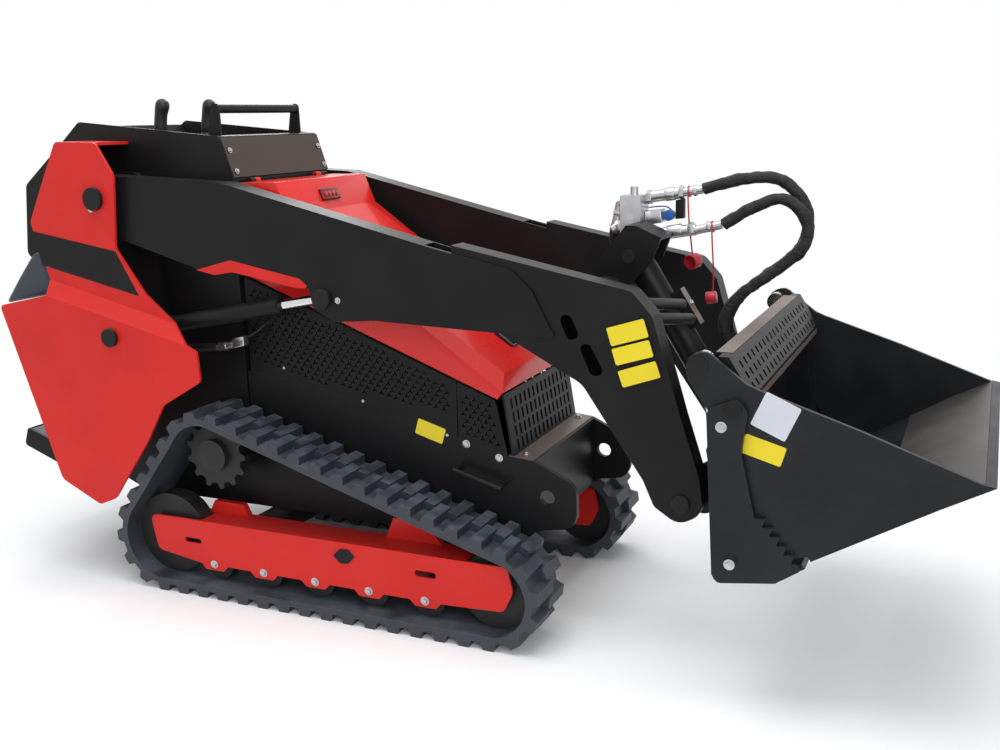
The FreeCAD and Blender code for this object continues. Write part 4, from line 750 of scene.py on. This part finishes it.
# %% [markdown]
# The lid over the engine is one folded red sheet. Its sloping top is flat along the middle
# and falls away to the sides in a wide, flat facet, which catches a long highlight. It is
# drawn in side view as a full block, and a wide bevel cuts back the two long upper edges. The
# block is then opened below and behind, gets its thickness, and its edges are eased last, so
# that both sides of the sheet are. Edges and faces are picked in code, by where they lie or
# look.

# %% Hood
HOOD_SIDE = ((-300, 1216), (-178, 1216), (-142, 1128), (500, 705), (512, 660), (496, 641),
             (-300, 950))
HOOD_HALF = 244.7
HOOD_FRONT = spot(500, 0, 705)
HOOD_TOP = spot(-142, 0, 1128)
HOOD_REAR = spot(-299, 0, 0).x
FACET_WIDTH = 0.042
HOOD_SHEET = 0.004
SLACK = 0.001


def pick_edges(piece, test):
    """Select the edges whose two ends pass a test, and go to edit mode."""
    only(piece)
    bpy.ops.object.mode_set(mode="EDIT")
    bpy.ops.mesh.select_mode(type="EDGE")
    bpy.ops.mesh.select_all(action="DESELECT")
    bpy.ops.object.mode_set(mode="OBJECT")
    corners = piece.data.vertices
    for edge in piece.data.edges:
        edge.select = all(test(corners[index].co) for index in edge.vertices)
    bpy.ops.object.mode_set(mode="EDIT")


def pick_faces(piece, test):
    """Select the faces that pass a test, and go to edit mode."""
    only(piece)
    bpy.ops.object.mode_set(mode="EDIT")
    bpy.ops.mesh.select_mode(type="FACE")
    bpy.ops.mesh.select_all(action="DESELECT")
    bpy.ops.object.mode_set(mode="OBJECT")
    for face in piece.data.polygons:
        face.select = test(face)
    bpy.ops.object.mode_set(mode="EDIT")


def on_upper_edge(co, facing):
    """True on the long sloping edge of one side."""
    return (co.y * facing > 0.24
            and HOOD_TOP.x - SLACK < co.x < HOOD_FRONT.x + SLACK
            and HOOD_FRONT.z - SLACK < co.z < HOOD_TOP.z + SLACK)


def faces_down_or_back(face):
    """True where the hood is open: below, and at its rear wall."""
    return face.normal.z < -0.5 or (face.normal.x < -0.9 and face.center.x < HOOD_REAR)


def make_hood():
    hood = profile("hood_skin", HOOD_SIDE, -HOOD_HALF, HOOD_HALF)
    for facing in (-1, 1):
        pick_edges(hood, lambda co: on_upper_edge(co, facing))
        bpy.ops.mesh.bevel(offset=FACET_WIDTH, segments=1, affect="EDGES")
        bpy.ops.object.mode_set(mode="OBJECT")
    pick_faces(hood, faces_down_or_back)
    bpy.ops.mesh.delete(type="FACE")
    bpy.ops.object.mode_set(mode="OBJECT")
    only(hood)
    wall = hood.modifiers.new("wall", "SOLIDIFY")
    wall.thickness = HOOD_SHEET
    wall.offset = -1
    wall.use_even_offset = True
    bpy.ops.object.modifier_apply(modifier=wall.name)
    ease(hood, 0.006, 3, 18)
    return hood


hood = settle(make_hood(), "hood", red_gloss, smooth=50)
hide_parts("hood")

# %% [markdown]
# The hood turns on two knuckles at its rear edge, carries a small lamp on its step and has a
# latch near its nose. The lamp is a lens with four bright spots that stand out from it. A
# painted spot would be flat, and these catch the light as small domes do.

# %% Knuckles, lamp and latch
HOOD_LAMP = ((-166.8, 1183.9), (-157.4, 1187.7), (-143.8, 1154.3), (-153.2, 1150.5))
HOOD_LATCH = ((392, 779), (394, 786), (452, 748), (449, 741))
KNUCKLE_LENGTH = 22

knuckles = [rod(f"knuckle_{index}", spot(-302, low, 1218),
                spot(-302, low + KNUCKLE_LENGTH, 1218), 9)
            for index, low in enumerate((150, -172))]
settle(gather("hood_knuckles", knuckles), "hood", red_flat)
lamp_lens = profile("lamp_lens", HOOD_LAMP, -48, 48, easing=0.003, segments=3)
settle(lamp_lens, "hood", lens_red)
latch = profile("hood_latch", HOOD_LATCH, -30, 30, easing=0.003)
settle(latch, "hood", black_glass)
lamp_lights = [rod(f"lamp_light_{index}", spot(-154.5, y, 1169), spot(-146.5, y, 1172), 7.5, 12)
               for index, y in enumerate((-30, -10, 10, 30))]
settle(gather("lamp_lights", lamp_lights), "hood", lens_bright)

# %% [markdown]
# The side panels are thin sheets with a field of small three-armed slots for the cooling
# air. A picture of slots would look painted on from the side. So one slot is drawn with nine
# corners, and its places are found in staggered rows that run along the sheet's lower edge.

# %% Side panels: where the slots are
PANEL_REAR = ((-308, 944), (373, 681), (373, 520), (-150, 640), (-308, 661))
PANEL_FRONT = ((376, 680), (490, 636), (524, 485), (376, 519))
SLOT_ARM = 8.0
SLOT_HALF = 1.7
SLOT_INNER = SLOT_HALF * 1.2
SLOT_PITCH = 23.0
SLOT_ROW = 17.0
SLOT_SLOPE = 0.25


def slot_corners(x, z):
    """Nine corners of a three-armed slot about a point."""
    corners = []
    for arm in (90, 210, 330):
        outward = Vector((math.cos(math.radians(arm)), math.sin(math.radians(arm))))
        across = Vector((-outward.y, outward.x))
        inner = outward.copy()
        inner.rotate(Matrix.Rotation(math.radians(-60), 2))
        for corner in (inner * SLOT_INNER, outward * SLOT_ARM - across * SLOT_HALF,
                       outward * SLOT_ARM + across * SLOT_HALF):
            corners.append((x + corner.x, z + corner.y))
    return corners


def inside(outline, x, z, margin):
    """True where a point lies within an outline drawn clockwise, away from its edges."""
    for (x1, z1), (x2, z2) in zip(outline, outline[1:] + outline[:1]):
        run = Vector((x2 - x1, z2 - z1)).normalized()
        if run.y * (x - x1) - run.x * (z - z1) < margin:
            return False
    return True


def slot_places(outline, start, margin):
    """Staggered rows that rise to the rear, kept inside an outline."""
    places = []
    for row in range(-20, 21):
        for column in range(-40, 41):
            x = start[0] + (column + 0.5 * (row % 2)) * SLOT_PITCH
            z = start[1] + row * SLOT_ROW - (x - start[0]) * SLOT_SLOPE
            if inside(outline, x, z, margin):
                places.append((x, z))
    return places


slot_spots = slot_places(PANEL_REAR, (0, 700), 17) + slot_places(PANEL_FRONT, (450, 560), 15)
print("slots:", len(slot_spots))

# %% [markdown]
# All copies of the slot are joined to one cutter, because one boolean over hundreds of slots
# is far quicker than hundreds of booleans. The sheet itself is a copy of the CAD node. Its
# loose triangles are merged first, so that the boolean meets a closed body.

# %% Side panels: cut the slots
CUTTER_HALF = 260
MERGE_DISTANCE = 0.00005


def make_slot_cutter():
    """Every slot as one body that reaches through both panels."""
    pattern = profile("slot_pattern", slot_corners(0, 0), -CUTTER_HALF, CUTTER_HALF)
    pattern.data.transform(Matrix.Translation(-spot(0, 0, 0)))
    cutters = []
    for index, (x, z) in enumerate(slot_spots):
        copy = bpy.data.objects.new(f"slot_{index}", pattern.data.copy())
        copy.data.transform(Matrix.Translation(spot(x, 0, z)))
        scene.collection.objects.link(copy)
        cutters.append(copy)
    bpy.data.objects.remove(pattern)
    return gather("slot_cutters", cutters)


def make_panels():
    panels = bpy.data.objects.new("slotted_panels", nodes["side_panels"].data.copy())
    panels.data.transform(nodes["side_panels"].matrix_world)
    scene.collection.objects.link(panels)
    only(panels)
    bpy.ops.object.mode_set(mode="EDIT")
    bpy.ops.mesh.select_all(action="SELECT")
    bpy.ops.mesh.remove_doubles(threshold=MERGE_DISTANCE)
    bpy.ops.object.mode_set(mode="OBJECT")
    cutter = make_slot_cutter()
    only(panels)
    cutting = panels.modifiers.new("slots", "BOOLEAN")
    cutting.operation = "DIFFERENCE"
    cutting.solver = "EXACT"
    cutting.object = cutter
    bpy.ops.object.modifier_apply(modifier=cutting.name)
    bpy.data.objects.remove(cutter)
    return panels


panels = settle(make_panels(), "machine", black_satin)
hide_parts("side_panels")

# %% [markdown]
# Two pads behind the towers take the operator's hips. Real ones are foam under vinyl: soft
# corners and a slightly crowned face. Cloth simulation could swell them, but a wide bevel in
# several steps over a drawn shape gives the same swell and is alike at each run.

# %% Knee pads
PAD_SIDE = ((-978, 1012), (-945, 1014), (-904, 892), (-1118, 850), (-1048, 934))
PAD_INNER = 250.3
PAD_OUTER = 391.7

pads = [profile(f"pad_{index}", PAD_SIDE, low, high, easing=0.014, segments=4)
        for index, (low, high) in enumerate(((-PAD_OUTER, -PAD_INNER), (PAD_INNER, PAD_OUTER)))]
pads = settle(gather("soft_pads", pads), "machine", pad_vinyl, smooth=60)
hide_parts("knee_pads")

# %% [markdown]
# Screws and pins hold everything. A head with a washer is modelled at the origin, pointing up
# Z: six sides or a round button, a chamfered top, and a round washer under it. All its sizes
# are shares of its radius, so that one helper makes the large and the small ones.

# %% Bolt heads
HEAD_FOOT = 0.2
HEAD_TOP = 0.9
HEAD_CHAMFER = 0.12
WASHER_RADIUS = 1.45
WASHER_TOP = 0.22
WASHER_CHAMFER = 0.06


def make_bolt(name, radius, sides):
    """A head on its washer, its radius in millimetres."""
    unit = radius / 1000
    head = rod(name, (0, 0, HEAD_FOOT * unit), (0, 0, HEAD_TOP * unit), radius, sides,
               HEAD_CHAMFER * unit)
    washer = rod(name + "_washer", (0, 0, 0), (0, 0, WASHER_TOP * unit),
                 radius * WASHER_RADIUS, 24, WASHER_CHAMFER * unit)
    return gather(name, [head, washer])


hex_bolt = make_bolt("hex_bolt", 9, 6)
small_bolt = make_bolt("small_bolt", 6, 6)
button = make_bolt("button", 8, 20)
rivet = make_bolt("rivet", 3.2, 12)
print("heads:", hex_bolt.name, small_bolt.name, button.name, rivet.name)

# %% [markdown]
# Copies of the heads go to their places, each turned to the face that it sits on. Those of
# one body and kind become one piece. Most sit on the machine's sides and point away from its
# middle, so a place needs a direction only where it doesn't.

# %% Bolts in their places
DASH_NORMAL = (0.948, 0, 0.32)
DECK_NORMAL = (0.09, 0, 1)
VALVE_NORMAL = (0.8506, 0, 0.526)


def bolts(name, pattern, body, material, places):
    """Copies of a head at x, y, z and perhaps a direction, as one piece of a body."""
    copies = []
    for index, (x, y, z, *direction) in enumerate(places):
        facing = direction[0] if direction else (0, math.copysign(1, y), 0)
        copies.append(placed_copy(pattern, f"{name}_{index}", spot(x, y, z), facing))
    return settle(gather(name, copies), body, material)


def both_sides(places, y):
    """Places in side view, on the right and on the left side."""
    return [(x, side * y, z) for x, z in places for side in (-1, 1)]


bolts("frame_bolts", hex_bolt, "machine", zinc,
      both_sides(((-378, 94), (-200, 94), (-22, 94), (156, 94), (334, 94)), 397))
bolts("side_screws", button, "machine", zinc, both_sides(((400, 507), (498, 477)), 245.2))
bolts("side_rivets", rivet, "machine", zinc,
      both_sides(((-189, 679), (75, 601), (341, 526)), 245.2))
dash_bolts = [(-351.5 + 37.9 * share + 3, y, 1338 - 112.7 * share, DASH_NORMAL)
              for share in (0.28, 0.80) for y in (-229, 229)]
bolts("dash_bolts", small_bolt, "machine", zinc, dash_bolts)
bolts("bucket_bolts", hex_bolt, "bucket", zinc, both_sides(((1165, 699), (1191, 376)), 515.2))
bolts("deck_bolts", button, "machine", zinc,
      [(562, y, 483.0, DECK_NORMAL) for y in (-205, 205)])
bolts("tower_lock_bolts", small_bolt, "machine", zinc, both_sides(((-718, 1147),), 400.2))
bolts("arm_lock_bolts", small_bolt, "lift_arm", zinc, both_sides(((88, 911),), 369.2))
bolts("valve_bolt", small_bolt, "tilt_barrel", zinc, [(961.0, 0, 888.6, VALVE_NORMAL)])
for spare in (hex_bolt, small_bolt, button, rivet):
    bpy.data.objects.remove(spare)

# %% [markdown]
# Film labels are plain coloured patches with round corners that lean with the arm and the
# bucket's edge. They could be painted into the material, but a patch of its own, a little
# over half a millimetre thick, shows its rim and is easy to move. Sizes and leans are in
# millimetres and degrees.

# %% Labels
LABEL_CORNER = 0.004
LABEL_THICKNESS = 0.0006
LABELS = (("arm_label_1", (900, -369.1, 871), 98, 46, 17, "lift_arm", label_yellow),
          ("arm_label_2", (913, -369.1, 822), 98, 42, 17, "lift_arm", label_yellow),
          ("arm_label_3", (930, -369.1, 770), 100, 42, 19, "lift_arm", label_yellow),
          ("chassis_label", (289, -245.2, 533), 88, 46, -16.5, "machine", label_yellow),
          ("jaw_label_white", (1281, -498.1, 729), 84, 84, -24, "jaw", label_white),
          ("jaw_label_yellow", (1256, -498.1, 650), 94, 46, -16, "jaw", label_yellow))


def label(name, centre, width, height, lean):
    """A thin patch on the machine's right side."""
    bpy.ops.object.select_all(action="DESELECT")
    bpy.ops.mesh.primitive_plane_add(size=1, location=spot(*centre),
                                     rotation=(math.pi / 2, -math.radians(lean), 0))
    piece = bpy.context.object
    piece.name = name
    piece.scale = (width / 1000, height / 1000, 1)
    apply_place(piece)
    bpy.ops.object.mode_set(mode="EDIT")
    bpy.ops.mesh.select_mode(type="VERT")
    bpy.ops.mesh.select_all(action="SELECT")
    bpy.ops.mesh.bevel(offset=LABEL_CORNER, segments=3, affect="VERTICES")
    bpy.ops.mesh.select_all(action="SELECT")
    outwards = (0, -LABEL_THICKNESS, 0)
    bpy.ops.mesh.extrude_region_move(TRANSFORM_OT_translate={"value": outwards})
    bpy.ops.object.mode_set(mode="OBJECT")
    face_outwards(piece)
    return piece


for name, centre, width, height, lean, body, material in LABELS:
    settle(label(name, centre, width, height, lean), body, material)

# %% [markdown]
# Bands of another colour are thin sheets here: the black band on each tower where it bends,
# the red strip along each arm's lower edge, and the cover plates on the track frames. A mask
# in the material could draw them, but a sheet has a clean edge from near too. Each is drawn
# in side view, and both sides are made at once.

# %% Bands and strips
TOWER_BAND = ((-955, 1079), (-641, 1027), (-568, 899), (-930, 978))
ARM_STRIP = ((-378, 978), (-258, 1009), (-31, 966), (-8, 948), (-12, 941), (-42, 940),
             (-254, 976), (-315, 966))
FRAME_COVER = ((46, 186), (68, 166), (94, 168), (116, 190), (94, 210), (68, 208))


def paired_sheets(name, outline, face, thickness, body, material):
    """One sheet on each side of the machine, on a face that far from its middle."""
    sheets = [profile(f"{name}_{index}", outline, low, low + thickness)
              for index, low in enumerate((-face - thickness, face))]
    return settle(gather(name, sheets), body, material)


paired_sheets("tower_bands", TOWER_BAND, 400.1, 0.8, "machine", black_satin)
paired_sheets("arm_strips", ARM_STRIP, 369.1, 0.8, "lift_arm", red_flat)
paired_sheets("frame_covers", FRAME_COVER, 397.1, 3.6, "machine", black_rough)

# %% [markdown]
# Tan sheets cover the nose, the check valve and the top and foot of the guard in the bucket.
# They lie on the CAD faces, drawn in side view as slivers of about a millimetre, with a small
# wedge at the guard's foot. The front edge of the jaw is rubbed bright by the ground, so a
# strip of steel follows it.

# %% Cover sheets and the jaw's lip
NOSE_DECK = ((526, 485.0), (526, 486.2), (597, 479.7), (597, 478.5))
VALVE_COVER = ((934.6, 927.1), (935.9, 927.9), (992.7, 836.0), (991.4, 835.2))
GUARD_TOP = ((1130, 850.2), (1130, 851.2), (1168, 851.2), (1168, 850.2))
GUARD_BASE = ((1205, 738), (1225.2, 738), (1225.2, 752), (1224.2, 752))
JAW_LIP = ((1500, 499.6), (1612, 568.3), (1711, 620.8), (1711, 621.8), (1611.5, 569.3),
           (1499.5, 500.6))

settle(profile("nose_deck", NOSE_DECK, -243, 243), "machine", plate_tan)
settle(profile("valve_cover", VALVE_COVER, -19.5, 19.5), "tilt_barrel", plate_tan)
guard_top = profile("guard_top", GUARD_TOP, -428, 428)
guard_base = profile("guard_base", GUARD_BASE, -460, 460)
settle(gather("guard_sheets", [guard_top, guard_base]), "bucket", plate_tan)
settle(profile("jaw_lip", JAW_LIP, -485.5, 485.5), "jaw", edge_steel)

# %% [markdown]
# The two levers are moulded rubber grips that swell towards the top, each over a bellows of
# three rings. A stack of cylinders would show its steps. So the grip is a curve whose radius
# changes from point to point, turned to a mesh.

# %% Levers
GRIP = ((-686, 1318, 13), (-685, 1352, 15), (-682, 1366, 20), (-680, 1392, 19),
        (-675, 1418, 19), (-668, 1438, 22), (-664, 1450, 19), (-662, 1457, 12),
        (-661, 1459, 2))
BELLOWS = ((1318, 1334, 29), (1332, 1345, 25), (1343, 1355, 21))
LEVER_Y = 112
MILLIMETRE = 0.001


def to_mesh(cord):
    """Turn a curve to a mesh."""
    only(cord)
    bpy.ops.object.convert(target="MESH")
    return cord


def make_grip(name, y):
    """A grip on its bellows. Each control point's radius is in millimetres."""
    grip = round_cord(name, [spot(x, y, z) for x, z, _ in GRIP], MILLIMETRE, 5, 6)
    for control, (_, _, radius) in zip(grip.data.splines[0].points, GRIP):
        control.radius = radius
    to_mesh(grip)
    rings = [rod(f"{name}_ring_{low}", spot(-684, y, low), spot(-684, y, high), radius, 24,
                 0.004) for low, high, radius in BELLOWS]
    return gather(name, [grip] + rings)


grips = [make_grip("grip_right", -LEVER_Y), make_grip("grip_left", LEVER_Y)]
levers = settle(gather("lever_grips", grips), "machine", soft_rubber, smooth=50)
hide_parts("joysticks")

# %% [markdown]
# The couplers are turned steel: sleeves, with hexagon nuts between them. The CAD node has
# their plain bars. Rods of six or 24 sides are set along each coupler's line, by the share of
# its length at which they start and end, so that the nuts follow if the line moves.

# %% Couplers
# Each span: share of the line at its start and end, radius in millimetres, sides.
UPPER_SPANS = ((0.02, 0.12, 20, 6), (0.36, 0.52, 18.5, 24), (0.60, 0.68, 19, 6),
               (0.84, 0.90, 15, 6))
LOWER_SPANS = ((0.02, 0.10, 20, 6), (0.34, 0.52, 18.5, 24), (0.60, 0.67, 19, 6),
               (0.82, 0.87, 15, 6))
COUPLERS = (("upper", (796, 1157), (957, 1180), 120, UPPER_SPANS),
            ("lower", (796, 1054), (1020, 1089.6), 80, LOWER_SPANS))
SIDE_BLOCK = ((800.5, 1082), (800.5, 1120), (846, 1126), (850, 1090))
CONNECTOR = ((880, 1098), (880, 1150), (903, 1153), (903, 1100))


def along(start, end, y, share):
    """A place on a line in side view, by the share of its length."""
    return spot(start[0] + (end[0] - start[0]) * share, y,
                start[1] + (end[1] - start[1]) * share)


turned = [rod(f"{tag}_{index}", along(start, end, y, low), along(start, end, y, high), radius,
              sides)
          for tag, start, end, y, spans in COUPLERS
          for index, (low, high, radius, sides) in enumerate(spans)]
turned += [rod("elbow_nut", spot(735, 120, 1144), spot(722, 120, 1138), 18, 6),
           rod("drop_nut", spot(719, 120, 1120), spot(716, 120, 1106), 17, 6),
           rod("lower_nut", spot(738, 84, 1082), spot(728, 84, 1076), 18, 6),
           profile("side_block", SIDE_BLOCK, 96, 148, easing=0.002)]
settle(gather("coupler_nuts", turned), "lift_arm", zinc)
connector = profile("grey_connector", CONNECTOR, 124, 148, easing=0.002)
settle(connector, "lift_arm", black_rough)

# %% [markdown]
# Red and blue caps hang from the couplers on rubber straps. A red cap is a short cup: a bar
# with its end inset and pushed in, so that one looks into it, and the blue cap is a plain bar.
# A strap is a thin cord made mesh.

# %% Caps and straps
CUP_WALL = 0.003
CUP_DEPTH = 0.014


def cup(name, start, end, radius):
    """A cap with a hollow end."""
    piece = rod(name, start, end, radius, 24, 0.001)
    pole = (Vector(end) - Vector(start)).normalized()
    pick_faces(piece, lambda face: face.normal.dot(pole) > 0.99)
    bpy.ops.mesh.inset(thickness=CUP_WALL, depth=0)
    inwards = -pole * CUP_DEPTH
    bpy.ops.mesh.extrude_region_move(TRANSFORM_OT_translate={"value": inwards})
    bpy.ops.object.mode_set(mode="OBJECT")
    return piece


def strap(name, points, radius):
    """A thin round cord through points, as a mesh, all in millimetres."""
    return to_mesh(round_cord(name, [spot(*point) for point in points], radius / 1000, 3, 8))


blue = [rod("blue_cap", spot(861, 148, 1108), spot(861, 120, 1108), 15, 24, 0.002),
        strap("blue_strap", ((800, 140, 1128), (830, 146, 1132), (858, 146, 1130),
                             (872, 142, 1112)), 2)]
settle(gather("blue_caps", blue), "lift_arm", cap_blue)
red = [cup("red_cap_1", spot(938, 140, 985), spot(926, 112, 981), 21),
       cup("red_cap_2", spot(1010, 76, 894), spot(984, 76, 890), 17),
       rod("strap_ring_1", spot(918, 120, 1174.2), spot(922, 120, 1174.8), 16, 20),
       rod("strap_ring_2", spot(994, 80, 1083.6), spot(998, 80, 1084.2), 16, 20),
       rod("elbow_ring", spot(739, 120, 1146), spot(742, 120, 1147.4), 20, 20),
       strap("red_strap_1", ((920, 104, 1172), (922, 102, 1120), (926, 112, 1060),
                             (930, 124, 1004)), 2.2),
       strap("red_strap_2", ((996, 66, 1082), (1000, 64, 1020), (1004, 68, 960),
                             (1000, 76, 908)), 2.2)]
settle(gather("red_caps", red), "lift_arm", cap_red)

# %% [markdown]
# Behind each lift cylinder a hose leaves the console's wall and ends in a plated fitting,
# from which a thin line runs on to the panel. Both ends sit in a wall, so a cord of a few
# control points is enough.

# %% Lift lines
LIFT_LINE_Y = 280
LIFT_JOINT = ((-336, 736), (-334, 766), (-292, 776), (-290, 748))

for side, tag in ((-1, "right"), (1, "left")):
    y = side * LIFT_LINE_Y
    hose_end = strap(f"lift_hose_{tag}", ((-565, side * 249, 722), (-545, side * 279, 724),
                                          (-480, side * 281, 728), (-390, y, 736)), 12)
    thin_line = strap(f"lift_thin_{tag}", ((-296, y, 768), (-262, y, 782),
                                           (-240, side * 276, 800), (-232, side * 246, 812)), 4)
    settle(gather(f"lift_lines_{tag}", [hose_end, thin_line]), "machine", soft_rubber)
    fitting = [rod(f"lift_nut_{tag}", spot(-392, y, 736), spot(-360, y, 740), 14, 6),
               rod(f"lift_stem_{tag}", spot(-362, y, 740), spot(-330, y, 750), 11),
               profile(f"lift_joint_{tag}", LIFT_JOINT, y - 12, y + 12, easing=0.003)]
    settle(gather(f"lift_fitting_{tag}", fitting), "machine", zinc)

# %% [markdown]
# Two rubber covered tubes run from the near arm across to the tilt cylinder. They are
# straight, so a rod between two places is all they need.

# %% Tubes across to the tilt cylinder
cross = [rod("cross_tube_upper", spot(918, -293, 930), spot(954, -68, 894), 15, 24, 0.004),
         rod("cross_tube_lower", spot(939, -293, 894), spot(979, -68, 857), 15, 24, 0.004)]
settle(gather("cross_tubes", cross), "lift_arm", soft_rubber)
